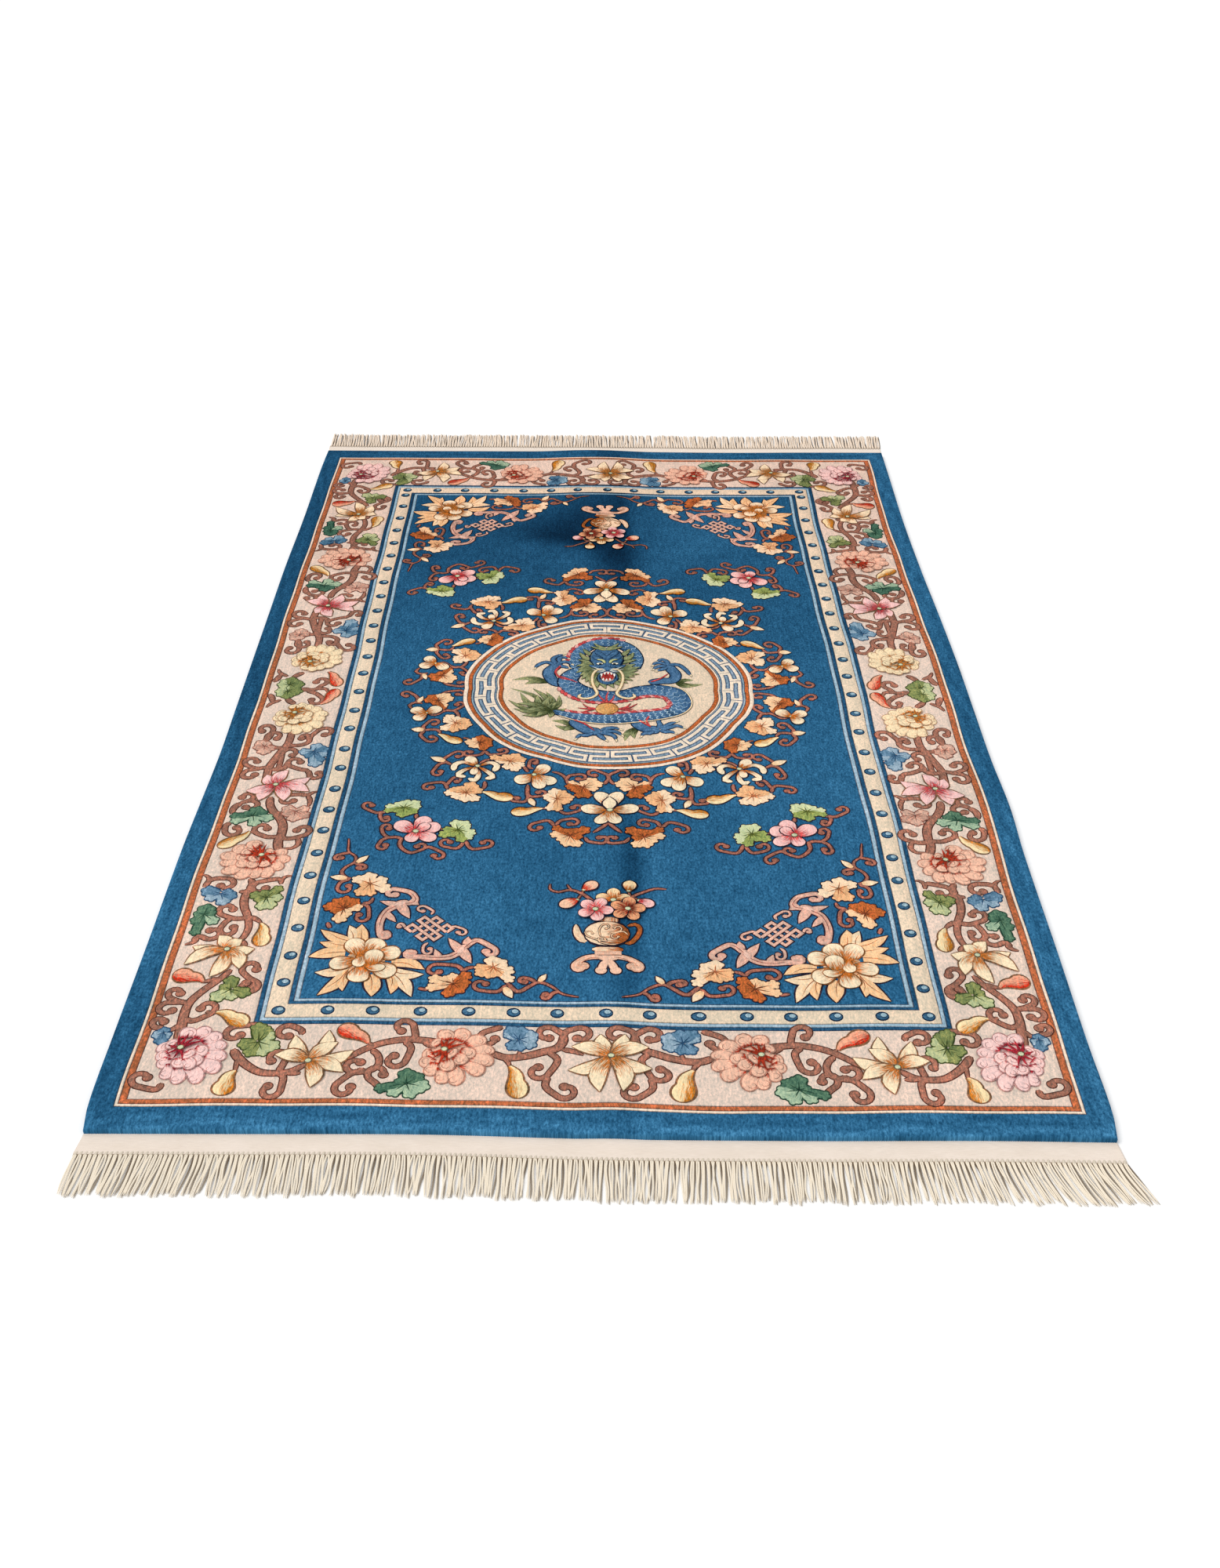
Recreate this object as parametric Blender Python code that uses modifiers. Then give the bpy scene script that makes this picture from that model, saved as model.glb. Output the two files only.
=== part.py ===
"""A Peking rug laid out flat: knotted pile with woven ends, and a fringe at each end.

Metres, +Z up. The origin is on the floor under the middle of the rug. X runs across
the width and Y along the length, with the near end at -Y.
"""

import math

import bmesh
import bpy

# Driving dimensions of the knotted pile
WIDTH = 1.520
LENGTH = 2.445
PILE_THICKNESS = 0.013
GROOVE_DEPTH = 0.0016
GROOVE_HALF_WIDTH = 0.0018

# Woven ends, one cloth with the pile
WEB_DEPTH = 0.0365
WEB_THICKNESS = 0.0026
WEB_STEP = 0.0010

# Fringe: each strand here stands for two of the rug's knotted tassels
STRANDS_PER_END = 104
STRAND_WIDTH = 0.0085
STRAND_TIP_WIDTH = 0.0056
STRAND_THICKNESS = 0.0026
STRAND_TIP_THICKNESS = 0.0018
STRAND_SWAY = 0.0022
STRAND_SHARES = (0.45, 1.0)
STRIP_DEPTH = 0.0040
PIECE_GAP = 0.0003

# The rug lies slightly out of square
SKEW = 0.0055

# Carved rings of the medallion in the middle of the field, slightly flattened along the rug
MEDALLION_CENTRE = (0.008, 0.001)
MEDALLION_RINGS = (0.304, 0.287, 0.222)
MEDALLION_SQUASH = 0.963
RING_STEPS = 72

# Faces of the underside closer than this to one plane are merged
FLAT_ANGLE = math.radians(0.02)

# Rounding of the pile's top edge: distance in from the edge, and drop there
EDGE_PROFILE = (
    {"inset": 0.0, "drop": 0.0040},
    {"inset": 0.0014, "drop": 0.0014},
    {"inset": 0.0042, "drop": 0.0},
)

# Carved lines between the bands of the frame: distances in from the sides and the ends
CARVED_LINES = (
    {"name": "cream line", "side": 0.0400, "end": 0.0495},
    {"name": "border ground", "side": 0.0570, "end": 0.0640},
    {"name": "outer guard", "side": 0.2140, "end": 0.2235},
    {"name": "beaded band", "side": 0.2285, "end": 0.2385},
    {"name": "inner guard", "side": 0.2610, "end": 0.2690},
    {"name": "field", "side": 0.2770, "end": 0.2815},
)

# Distances from the middle at which the field has points, across and along
FIELD_ACROSS = (0.0, 0.028, 0.056, 0.088, 0.125, 0.170, 0.240, 0.330, 0.415)
FIELD_ALONG = (0.0, 0.115, 0.230, 0.345, 0.460, 0.575, 0.690, 0.810)

# Uneven sides: how far each edge lies to the right (+X) of the true rectangle
SIDE_SWAY = (
    {"y": -1.2225, "left": 0.0055, "right": -0.0085},
    {"y": -1.1650, "left": -0.0010, "right": -0.0022},
    {"y": -1.0260, "left": -0.0014, "right": -0.0028},
    {"y": -0.8050, "left": -0.0006, "right": 0.0002},
    {"y": -0.5480, "left": -0.0010, "right": 0.0022},
    {"y": -0.4030, "left": 0.0018, "right": 0.0070},
    {"y": -0.2450, "left": 0.0048, "right": 0.0030},
    {"y": -0.0740, "left": 0.0032, "right": 0.0035},
    {"y": 0.1150, "left": 0.0014, "right": 0.0040},
    {"y": 0.3230, "left": -0.0005, "right": 0.0010},
    {"y": 0.5530, "left": -0.0026, "right": -0.0042},
    {"y": 0.8090, "left": -0.0010, "right": -0.0060},
    {"y": 1.0950, "left": -0.0035, "right": -0.0017},
    {"y": 1.2225, "left": -0.0020, "right": 0.0},
)

# Uneven ends: how far each edge lies up the rug (+Y) of the true rectangle
END_SWAY = (
    {"x": -0.760, "near": 0.0010, "far": 0.0010},
    {"x": -0.520, "near": 0.0030, "far": 0.0},
    {"x": -0.260, "near": 0.0050, "far": 0.0008},
    {"x": 0.0, "near": -0.0010, "far": 0.0010},
    {"x": 0.320, "near": -0.0010, "far": -0.0030},
    {"x": 0.560, "near": 0.0020, "far": 0.0008},
    {"x": 0.760, "near": 0.0010, "far": 0.0020},
)

# The fold left along the middle: its line, its height and its half-width
CREASE = (
    {"y": -1.2225, "centre": 0.020, "height": 0.0018, "half_width": 0.060},
    {"y": -0.4000, "centre": 0.026, "height": 0.0024, "half_width": 0.085},
    {"y": 0.4000, "centre": 0.010, "height": 0.0032, "half_width": 0.120},
    {"y": 1.2225, "centre": -0.030, "height": 0.0046, "half_width": 0.168},
)

# Each end: its side, how far the web widens, the fringe's reach, and the splay of its corner tips
ENDS = (
    {"name": "fringe_near", "side": -1, "flare": 0.005, "reach": 0.080, "left": 0.003, "right": 0.030},
    {"name": "fringe_far", "side": 1, "flare": 0.003, "reach": 0.070, "left": 0.008, "right": 0.010},
)

PILE_BLUE = (0.022, 0.120, 0.300, 1.0)
YARN_CREAM = (0.860, 0.760, 0.640, 1.0)
WOOL_ROUGHNESS = 0.92


def lookup(table, key, column, value):
    """Read a column of a table at any place, smoothly between its rows."""
    rows = [(row[key], row[column]) for row in table]
    if value <= rows[0][0]:
        return rows[0][1]
    if value >= rows[-1][0]:
        return rows[-1][1]
    index = max(i for i, row in enumerate(rows[:-1]) if row[0] <= value)
    slopes = []
    for i in (index, index + 1):
        before, after = rows[max(i - 1, 0)], rows[min(i + 1, len(rows) - 1)]
        slopes.append((after[1] - before[1]) / (after[0] - before[0]))
    (start, low), (stop, high) = rows[index], rows[index + 1]
    span = stop - start
    t = (value - start) / span
    return (
        low * (2 * t**3 - 3 * t**2 + 1)
        + slopes[0] * span * (t**3 - 2 * t**2 + t)
        + high * (3 * t**2 - 2 * t**3)
        + slopes[1] * span * (t**3 - t**2)
    )


def smooth(t):
    """Ease from 0 to 1."""
    t = min(max(t, 0.0), 1.0)
    return t * t * (3 - 2 * t)


def web_share(y):
    """How far a point has gone out over the woven end: 0 at the pile, 1 at the outer edge."""
    return min(max((abs(y) - LENGTH / 2) / WEB_DEPTH, 0.0), 1.0)


def lay(x, y):
    """Move a point of the true rectangle to where the uneven rug has it."""
    across = x / WIDTH + 0.5
    along = y / LENGTH + 0.5
    left = lookup(SIDE_SWAY, "y", "left", y)
    right = lookup(SIDE_SWAY, "y", "right", y)
    near = lookup(END_SWAY, "x", "near", x)
    far = lookup(END_SWAY, "x", "far", x)
    flare = ENDS[0]["flare"] if y < 0 else ENDS[1]["flare"]
    return (
        x + left + (right - left) * across - SKEW * y + flare * web_share(y) * 2 * x / WIDTH,
        y + near + (far - near) * along - SKEW * x,
    )


def crease_lift(x, y):
    """How far the fold lifts the cloth off the floor; it dies out over the woven ends."""
    away = abs(x - lookup(CREASE, "y", "centre", y)) / lookup(CREASE, "y", "half_width", y)
    if away >= 1:
        return 0.0
    height = lookup(CREASE, "y", "height", y)
    return height * (1 - away * away) ** 2 * (1 - smooth(web_share(y)))


def carved(x, y):
    """Depth of the frame's carved lines at a point."""
    for line in CARVED_LINES:
        outside = max(abs(x) - (WIDTH / 2 - line["side"]), abs(y) - (LENGTH / 2 - line["end"]))
        if abs(outside) < GROOVE_HALF_WIDTH:
            return GROOVE_DEPTH * (1 - abs(outside) / GROOVE_HALF_WIDTH)
    return 0.0


def edge_drop(x, y):
    """Drop of the pile's rounded edge at a point."""
    inset = min(WIDTH / 2 - abs(x), LENGTH / 2 - abs(y))
    for outer, inner in zip(EDGE_PROFILE, EDGE_PROFILE[1:]):
        if inset < inner["inset"]:
            share = (inset - outer["inset"]) / (inner["inset"] - outer["inset"])
            return outer["drop"] + (inner["drop"] - outer["drop"]) * share
    return 0.0


def top_height(x, y):
    """Height of the upper face over the underside."""
    if web_share(y) > 0:
        return WEB_THICKNESS
    return PILE_THICKNESS - edge_drop(x, y) - carved(x, y)


def half_stations(half, direction, field):
    """Distances from the middle at which the surface has points, for one direction."""
    stops = list(field)
    for line in CARVED_LINES:
        at = half - line[direction]
        stops += [at - GROOVE_HALF_WIDTH, at, at + GROOVE_HALF_WIDTH]
    stops += [half - row["inset"] for row in EDGE_PROFILE]
    return sorted(stops)


def both_ways(stops):
    """Mirror the stations about the middle."""
    return [-stop for stop in reversed(stops) if stop > 0] + list(stops)


def rug_columns():
    """Stations across the rug, from left to right."""
    return both_ways(half_stations(WIDTH / 2, "side", FIELD_ACROSS))


def rug_rows():
    """Stations along the rug, from the near woven end to the far one."""
    web = [LENGTH / 2 + step for step in (WEB_STEP, WEB_DEPTH / 2, WEB_DEPTH)]
    return both_ways(half_stations(LENGTH / 2, "end", FIELD_ALONG) + web)


def flat_grid(columns, rows):
    """A flat grid whose points lie on the given columns and rows."""
    mesh = bmesh.new()
    bmesh.ops.create_grid(mesh, x_segments=len(columns) - 1, y_segments=len(rows) - 1, size=0.5)
    for point in mesh.verts:
        column = round((point.co.x + 0.5) * (len(columns) - 1))
        row = round((point.co.y + 0.5) * (len(rows) - 1))
        point.co = (columns[column], rows[row], 0.0)
    return mesh


def thicken(mesh, height):
    """Extrude a flat grid upwards; returns the points of its lower and its upper face."""
    lower = list(mesh.verts)
    result = bmesh.ops.extrude_face_region(mesh, geom=list(mesh.faces), use_keep_orig=True)
    upper = [item for item in result["geom"] if isinstance(item, bmesh.types.BMVert)]
    for point in upper:
        point.co.z = height
    bmesh.ops.recalc_face_normals(mesh, faces=list(mesh.faces))
    return lower, upper


def finish_mesh(mesh, name):
    """Turn a closed bmesh into an ordinary mesh with its faces pointing out."""
    bmesh.ops.recalc_face_normals(mesh, faces=list(mesh.faces))
    data = bpy.data.meshes.new(name)
    mesh.to_mesh(data)
    mesh.free()
    return data


def rug_mesh():
    """Pile and woven ends: one closed cloth with carved lines and the low fold."""
    mesh = flat_grid(rug_columns(), rug_rows())
    lower, upper = thicken(mesh, PILE_THICKNESS)
    for point in upper:
        x, y = point.co.x, point.co.y
        point.co.z = crease_lift(x, y) + top_height(x, y)
    for point in lower:
        point.co.z = crease_lift(point.co.x, point.co.y)
    for point in mesh.verts:
        point.co.x, point.co.y = lay(point.co.x, point.co.y)
    underside = set(lower)
    edges = [edge for edge in mesh.edges if underside.issuperset(edge.verts)]
    bmesh.ops.dissolve_limit(mesh, angle_limit=FLAT_ANGLE, verts=lower, edges=edges)
    return finish_mesh(mesh, "rug")


def ring_cutter(radius):
    """A V-shaped ring that carves one circle of the medallion, turned round its middle."""
    profile = bpy.data.meshes.new("ring_profile")
    points = (
        (radius, 0.0, -GROOVE_DEPTH),
        (radius + 2 * GROOVE_HALF_WIDTH, 0.0, GROOVE_DEPTH),
        (radius - 2 * GROOVE_HALF_WIDTH, 0.0, GROOVE_DEPTH),
    )
    profile.from_pydata(points, [(0, 1), (1, 2), (2, 0)], [])
    turned = bpy.data.objects.new("ring_profile", profile)
    bpy.context.scene.collection.objects.link(turned)
    screw = turned.modifiers.new("Turn", "SCREW")
    screw.steps = screw.render_steps = RING_STEPS
    screw.use_merge_vertices = True
    screw.merge_threshold = 0.00001
    graph = bpy.context.evaluated_depsgraph_get()
    mesh = bmesh.new()
    mesh.from_mesh(turned.evaluated_get(graph).data)
    bpy.data.objects.remove(turned)
    for point in mesh.verts:
        x = MEDALLION_CENTRE[0] + point.co.x
        y = MEDALLION_CENTRE[1] + point.co.y * MEDALLION_SQUASH
        point.co.z += PILE_THICKNESS + crease_lift(x, y)
        point.co.x, point.co.y = lay(x, y)
    return finish_mesh(mesh, f"ring_{radius * 1000:.0f}")


def lay_on_facets(columns, x, y):
    """As lay, but along the straight facets that the cloth's edge has between its stations."""
    index = max([0] + [i for i, column in enumerate(columns[:-1]) if column <= x])
    share = (x - columns[index]) / (columns[index + 1] - columns[index])
    left, right = lay(columns[index], y), lay(columns[index + 1], y)
    return tuple(low + (high - low) * share for low, high in zip(left, right))


def place_tip(tip, end, number, middle, root, share):
    """Set the four corners of a strand's end face, at a share of the strand's reach."""
    centre = tip.calc_center_median()
    width = STRAND_WIDTH + (STRAND_TIP_WIDTH - STRAND_WIDTH) * share
    thickness = STRAND_THICKNESS + (STRAND_TIP_THICKNESS - STRAND_THICKNESS) * share
    corner = end["right"] if middle > 0 else -end["left"]
    lean = corner * abs(2 * middle / WIDTH) ** 3 * share
    sway = STRAND_SWAY * math.sin(2.4 * number) * math.sin(2.5 * share)
    reach = end["reach"] * (1 - 0.06 * math.sin(1.7 * number) ** 2)
    for point in tip.verts:
        half = width / 2 if point.co.x > centre.x else -width / 2
        point.co.x = middle + lean + sway + half
        point.co.y = end["side"] * (root + reach * share)
        point.co.z = thickness if point.co.z > 0 else 0.0


def fringe_mesh(end):
    """One fringe: a narrow strip with strands growing out of it, all resting on the floor."""
    inner = LENGTH / 2 + WEB_DEPTH + PIECE_GAP
    root = inner + STRIP_DEPTH
    pitch = WIDTH / STRANDS_PER_END
    middles = [(number + 0.5) * pitch - WIDTH / 2 for number in range(STRANDS_PER_END)]
    halves = (-STRAND_WIDTH / 2, STRAND_WIDTH / 2)
    stops = [middle + half for middle in middles for half in halves]
    mesh = flat_grid(stops, sorted((end["side"] * inner, end["side"] * root)))
    thicken(mesh, STRAND_THICKNESS)
    outer = [face for face in mesh.faces if face.normal.y * end["side"] > 0.5]
    outer.sort(key=lambda face: face.calc_center_median().x)
    for number, tip in enumerate(outer[::2]):
        for share in STRAND_SHARES:
            tip = bmesh.ops.extrude_discrete_faces(mesh, faces=[tip])["faces"][0]
            place_tip(tip, end, number, middles[number], root, share)
    columns = rug_columns()
    for point in mesh.verts:
        point.co.x, point.co.y = lay_on_facets(columns, point.co.x, point.co.y)
    return finish_mesh(mesh, end["name"])


def wool(name, colour):
    """A matt yarn colour."""
    material = bpy.data.materials.new(name)
    material.use_nodes = True
    surface = material.node_tree.nodes["Principled BSDF"]
    surface.inputs["Base Color"].default_value = colour
    surface.inputs["Roughness"].default_value = WOOL_ROUGHNESS
    surface.inputs["Metallic"].default_value = 0.0
    return material


def add_piece(name, mesh, material, collection):
    """Put a finished mesh in the scene as one named piece."""
    piece = bpy.data.objects.new(name, mesh)
    piece.data.materials.append(material)
    collection.objects.link(piece)
    return piece


def add_cutter(name, mesh, collection):
    """Put a cutter in the scene, drawn as wire and left out of renders."""
    cutter = bpy.data.objects.new(name, mesh)
    cutter.display_type = "WIRE"
    cutter.hide_render = True
    collection.objects.link(cutter)
    return cutter


def main():
    """Build the rug and its two fringes."""
    for old in list(bpy.data.objects):
        bpy.data.objects.remove(old)
    pieces = bpy.data.collections.new("peking_rug")
    cutters = bpy.data.collections.new("cutters")
    for collection in (pieces, cutters):
        bpy.context.scene.collection.children.link(collection)

    rug = add_piece("rug", rug_mesh(), wool("pile", PILE_BLUE), pieces)
    for radius in MEDALLION_RINGS:
        mesh = ring_cutter(radius)
        carve = rug.modifiers.new(mesh.name, "BOOLEAN")
        carve.operation = "DIFFERENCE"
        carve.solver = "EXACT"
        carve.object = add_cutter(mesh.name, mesh, cutters)

    yarn = wool("fringe_yarn", YARN_CREAM)
    for end in ENDS:
        add_piece(end["name"], fringe_mesh(end), yarn, pieces)


main()
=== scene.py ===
"""The Peking rug as it looks: carved wool pile with its figures, woven ends and knotted fringe.

Figures are drawn on the rug's true rectangle in millimetres from its middle, +Y to the far end,
and are then laid on the uneven cloth. Colours in the tables are display values from 0 to 255.
"""

import math

import bmesh
import bpy
import numpy as np
from mathutils import Matrix


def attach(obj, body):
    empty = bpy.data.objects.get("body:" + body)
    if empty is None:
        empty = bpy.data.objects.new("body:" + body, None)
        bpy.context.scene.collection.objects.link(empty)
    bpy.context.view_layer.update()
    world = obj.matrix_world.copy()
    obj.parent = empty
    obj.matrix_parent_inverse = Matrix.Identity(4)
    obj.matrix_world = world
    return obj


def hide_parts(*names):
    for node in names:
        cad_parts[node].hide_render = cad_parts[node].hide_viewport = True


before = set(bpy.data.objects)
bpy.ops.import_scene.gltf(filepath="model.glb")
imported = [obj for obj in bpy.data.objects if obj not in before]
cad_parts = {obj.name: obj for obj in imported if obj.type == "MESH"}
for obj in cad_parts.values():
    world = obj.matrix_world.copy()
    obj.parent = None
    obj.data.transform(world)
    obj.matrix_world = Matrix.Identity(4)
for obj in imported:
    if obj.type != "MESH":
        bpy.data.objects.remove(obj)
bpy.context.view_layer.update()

# The cloth, as in the CAD
HALF_WIDTH = 760.0
HALF_LENGTH = 1222.5
PILE = 13.0
WEB_DEPTH = 36.5
WEB_THICKNESS = 2.4
# How much narrower the near end of the pile lies than drawn
NEAR_TUCK = 4.0
TUCK_OVER = 49.5
SKEW = 0.0055
MEDALLION = (8.0, 1.0)
MEDALLION_SQUASH = 0.963

# Copies of a figure: mirrored across or not, along or not, and how far moved across
ONCE = ((1, 1, 0),)
QUARTERS = ((1, 1, 0), (-1, 1, 0), (1, -1, 0), (-1, -1, 0))
SIDES = ((1, 1, 0), (-1, 1, 0))
ENDS_ONLY = ((1, 1, 0), (1, -1, 0))
WREATH = ((1, 1, 0), (-1, 1, 16), (1, -1, 0), (-1, -1, 16))
POTS = ((1, 1, 0), (-1, -1, 18))

# Relief of the carved figures
SINK = 0.5
# How far the outer edge of the painted groove shade round each figure drops
GROOVE_SHADE_SINK = 0.25
RISE = 0.22
LEVEL = 0.3
# Width of the painted groove shade round each figure
GROOVE_SHADE_WIDTH = 2.0


def table(columns, *rows):
    """Rows of values as dictionaries with named columns."""
    return [dict(zip(columns.split(), row)) for row in rows]


# Uneven sides and ends, and the fold, in millimetres
SIDE_SWAY = table(
    "y left right",
    (-1222.5, 5.5, -8.5),
    (-1165.0, -1.0, -2.2),
    (-1026.0, -1.4, -2.8),
    (-805.0, -0.6, 0.2),
    (-548.0, -1.0, 2.2),
    (-403.0, 1.8, 7.0),
    (-245.0, 4.8, 3.0),
    (-74.0, 3.2, 3.5),
    (115.0, 1.4, 4.0),
    (323.0, -0.5, 1.0),
    (553.0, -2.6, -4.2),
    (809.0, -1.0, -6.0),
    (1095.0, -3.5, -1.7),
    (1222.5, -2.0, 0.0),
)
END_SWAY = table(
    "x near far",
    (-760.0, 1.0, 1.0),
    (-520.0, 3.0, 0.0),
    (-260.0, 5.0, 0.8),
    (0.0, -1.0, 1.0),
    (320.0, -1.0, -3.0),
    (560.0, 2.0, 0.8),
    (760.0, 1.0, 2.0),
)
# How far the pattern lies from its even place along the rug, and across it in the near right quarter
LENGTHWISE = table(
    "y shift",
    (-1222.5, 0.0),
    (-1120.0, -0.5),
    (-900.0, -3.0),
    (-300.0, -4.0),
    (300.0, -4.0),
    (700.0, -2.0),
    (1000.0, 5.0),
    (1222.5, 9.0),
)
RIGHT_DRIFT = 10.0
DRIFT_ALONG = 0.15
# Where the drift starts or ends, and over how far it eases: on its left, its right and its far side
DRIFT_LEFT = (80, 100)
DRIFT_RIGHT = (420, 300)
DRIFT_FAR = (330, 330)
# How far in from the edges the knotting's unevenness eases off
EDGE_EASE = 40
CREASE = table(
    "y centre height half_width",
    (-1222.5, 20.0, 1.8, 60.0),
    (-400.0, 26.0, 2.4, 85.0),
    (400.0, 10.0, 3.2, 120.0),
    (1222.5, -30.0, 4.6, 168.0),
)
# Painted shade and light on the fold's pile: a dark stripe and the lighter one to its right
NAP_SHADE_STRIPE = table(
    "y at half_width dark",
    (-1222.5, 40.0, 14.0, 0.15),
    (-900.0, 42.0, 20.0, 0.34),
    (-600.0, 54.0, 24.0, 0.64),
    (-480.0, 46.0, 20.0, 0.36),
    (-320.0, 40.0, 24.0, 0.25),
    (300.0, 40.0, 36.0, 0.30),
    (500.0, 35.0, 48.0, 0.55),
    (600.0, 30.0, 62.0, 1.0),
    (640.0, 18.0, 78.0, 1.0),
    (720.0, -92.0, 150.0, 1.0),
    (850.0, -25.0, 130.0, 0.74),
    (1000.0, 10.0, 90.0, 0.45),
    (1222.5, 20.0, 80.0, 0.30),
)
# Painted shade in a narrow dark line along the fold, soft on its left and sharp on its right
FOLD_LEFT, FOLD_RIGHT = 42.0, 13.0
NAP_SHADE_FOLD = table(
    "y at dark",
    (-1222.5, 46.0, 0.05),
    (-700.0, 52.0, 0.12),
    (-560.0, 56.0, 0.26),
    (-300.0, 48.0, 0.12),
    (300.0, 46.0, 0.15),
    (500.0, 54.0, 0.45),
    (640.0, 60.0, 0.55),
    (800.0, 54.0, 0.65),
    (950.0, 44.0, 0.68),
    (1100.0, 36.0, 0.40),
    (1222.5, 30.0, 0.30),
)
# How light the dark wool is painted on each side of the field and on each side's outer band: painted
# light and shade from its leaning pile
NAP_SHADE_SIDES = table(
    "y outer_left left right outer_right",
    (-1222.5, 0.80, 1.05, 1.00, 0.95),
    (-1000.0, 0.80, 1.06, 0.97, 0.98),
    (-800.0, 1.00, 1.04, 0.93, 1.03),
    (-400.0, 0.79, 0.90, 0.96, 0.94),
    (0.0, 0.52, 0.80, 0.92, 0.76),
    (300.0, 0.56, 0.74, 0.72, 0.90),
    (600.0, 0.52, 0.52, 0.66, 0.92),
    (850.0, 0.48, 0.53, 0.64, 0.88),
    (1222.5, 0.56, 0.62, 0.72, 0.86),
)
ENDS = table(
    "name side flare web reach left right",
    ("near", -1, 5.0, 38.0, 75.0, 3.0, 30.0),
    ("far", 1, 3.0, 48.0, 88.0, 6.0, 8.0),
)

# Bands of the frame, from the edge inwards: where each ends, from the sides and from the ends
BANDS = table(
    "name side end colour",
    ("outer", 40.0, 49.5, "blue"),
    ("cream line", 45.5, 54.8, "cream"),
    ("orange line", 57.0, 63.8, "orange"),
    ("border", 214.0, 223.0, "ground"),
    ("dark guard", 221.5, 230.5, "navy"),
    ("light guard", 228.5, 238.0, "sky"),
    ("beaded band", 261.0, 269.0, "butter"),
    ("inner dark guard", 269.0, 275.5, "navy"),
    ("inner light guard", 277.5, 281.5, "sky"),
)

COLOURS = {
    "blue": (44, 100, 138),
    "field": (44, 100, 138),
    "cream": (243, 221, 199),
    "orange": (186, 106, 68),
    "ground": (227, 205, 189),
    "navy": (38, 84, 118),
    "sky": (162, 188, 204),
    "butter": (230, 210, 184),
    # Painted shade: the dark outline of the carved groove round the figures, the bottom of the carved
    # lines, and the vines' dark outline
    "ink": (22, 44, 70),
    "groove": (66, 58, 66),
    "vine ink": (84, 50, 42),
    "web": (246, 232, 219),
    "yarn": (252, 240, 220),
    # Painted shadow of the fringe: its under layer and the sides of its knots
    "yarn shadow": (80, 62, 44),
    "back": (60, 104, 146),
    "rust": (184, 98, 52),
    "ice": (150, 172, 182),
    "mist": (134, 156, 174),
    "slate": (104, 122, 144),
    "ivory": (228, 206, 180),
}


def linear(colour):
    """A named colour, or display values, as linear light."""
    values = COLOURS[colour] if isinstance(colour, str) else colour
    share = np.array(values, float) / 255
    return np.where(share <= 0.04045, share / 12.92, ((share + 0.055) / 1.055) ** 2.4)


def curve_of(rows, key, column, at):
    """Read a column of a table at any places, smoothly between its rows."""
    x = np.array([row[key] for row in rows])
    y = np.array([row[column] for row in rows])
    before, after = np.r_[0, np.arange(len(x) - 1)], np.r_[np.arange(1, len(x)), len(x) - 1]
    slope = (y[after] - y[before]) / (x[after] - x[before])
    at = np.clip(at, x[0], x[-1])
    i = np.clip(np.searchsorted(x, at, side="right") - 1, 0, len(x) - 2)
    span = x[i + 1] - x[i]
    t = (at - x[i]) / span
    return (
        y[i] * (2 * t**3 - 3 * t**2 + 1)
        + slope[i] * span * (t**3 - 2 * t**2 + t)
        + y[i + 1] * (3 * t**2 - 2 * t**3)
        + slope[i + 1] * span * (t**3 - t**2)
    )


def smooth(t):
    """Ease from 0 to 1."""
    t = np.clip(t, 0.0, 1.0)
    return t * t * (3 - 2 * t)


def eased(value, start, over):
    """Ease from 0 to 1 past a start, over a distance."""
    return smooth((value - start) / over)


def wobble(x, y):
    """Small unevenness of the knotting, in millimetres."""
    side = 0.9 * np.sin(y / 83 + 0.8) + 0.7 * np.sin(y / 37 + x / 210) + 0.4 * np.sin(x / 29)
    end = 0.9 * np.sin(x / 71 + 1.9) + 0.6 * np.sin(x / 33 + y / 190) + 0.4 * np.sin(y / 27)
    return side, end


def settle(flat, height):
    """Lay design points on the floor as the rug lies: places in metres."""
    x, y = flat[..., 0], flat[..., 1]
    across, along = x / (2 * HALF_WIDTH) + 0.5, y / (2 * HALF_LENGTH) + 0.5
    left, right = (curve_of(SIDE_SWAY, "y", column, y) for column in ("left", "right"))
    near, far = (curve_of(END_SWAY, "x", column, x) for column in ("near", "far"))
    out = np.clip((np.abs(y) - HALF_LENGTH) / WEB_DEPTH, 0, 1)
    flare = np.where(y < 0, ENDS[0]["flare"], ENDS[1]["flare"])
    side, end = wobble(x, y)
    inside = smooth((HALF_WIDTH - np.abs(x)) / EDGE_EASE) * smooth((HALF_LENGTH - np.abs(y)) / EDGE_EASE)
    pulled = eased(x, *DRIFT_LEFT) * (1 - eased(x, *DRIFT_RIGHT)) * eased(-y, *DRIFT_FAR) * inside
    side, end = side + RIGHT_DRIFT * pulled, end - DRIFT_ALONG * RIGHT_DRIFT * pulled
    new_x = x + left + (right - left) * across - SKEW * y + flare * out * x / HALF_WIDTH + side * inside
    tucked = NEAR_TUCK * smooth((-y - HALF_LENGTH + TUCK_OVER) / TUCK_OVER)
    tucked = tucked + curve_of(LENGTHWISE, "y", "shift", y)
    new_y = y + near + (far - near) * along - SKEW * x + end * inside + tucked
    away = np.abs(x - curve_of(CREASE, "y", "centre", y)) / curve_of(CREASE, "y", "half_width", y)
    lift = curve_of(CREASE, "y", "height", y) * np.clip(1 - away * away, 0, None) ** 2
    new_z = height + lift * (1 - smooth(out))
    return np.stack([new_x, new_y, new_z], -1) / 1000


def brushing_shade(along, across):
    """Painted light and dark streaks where brushing has laid the pile of the outer band."""
    broad = np.sin(along / 41 + 1.7 * np.sin(along / 77) + across / 5)
    small = np.sin(along / 23 - across / 4 + 2.1 * np.sin(along / 140))
    return 0.17 * broad + 0.14 * small


# How much painted light the pile takes beside the dark stripe, the painted highlight on the near rim, and
# the painted shade just inside that
BESIDE_STRIPE = 0.25
NEAR_RIM = 0.26
INSIDE_RIM = 0.07
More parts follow.
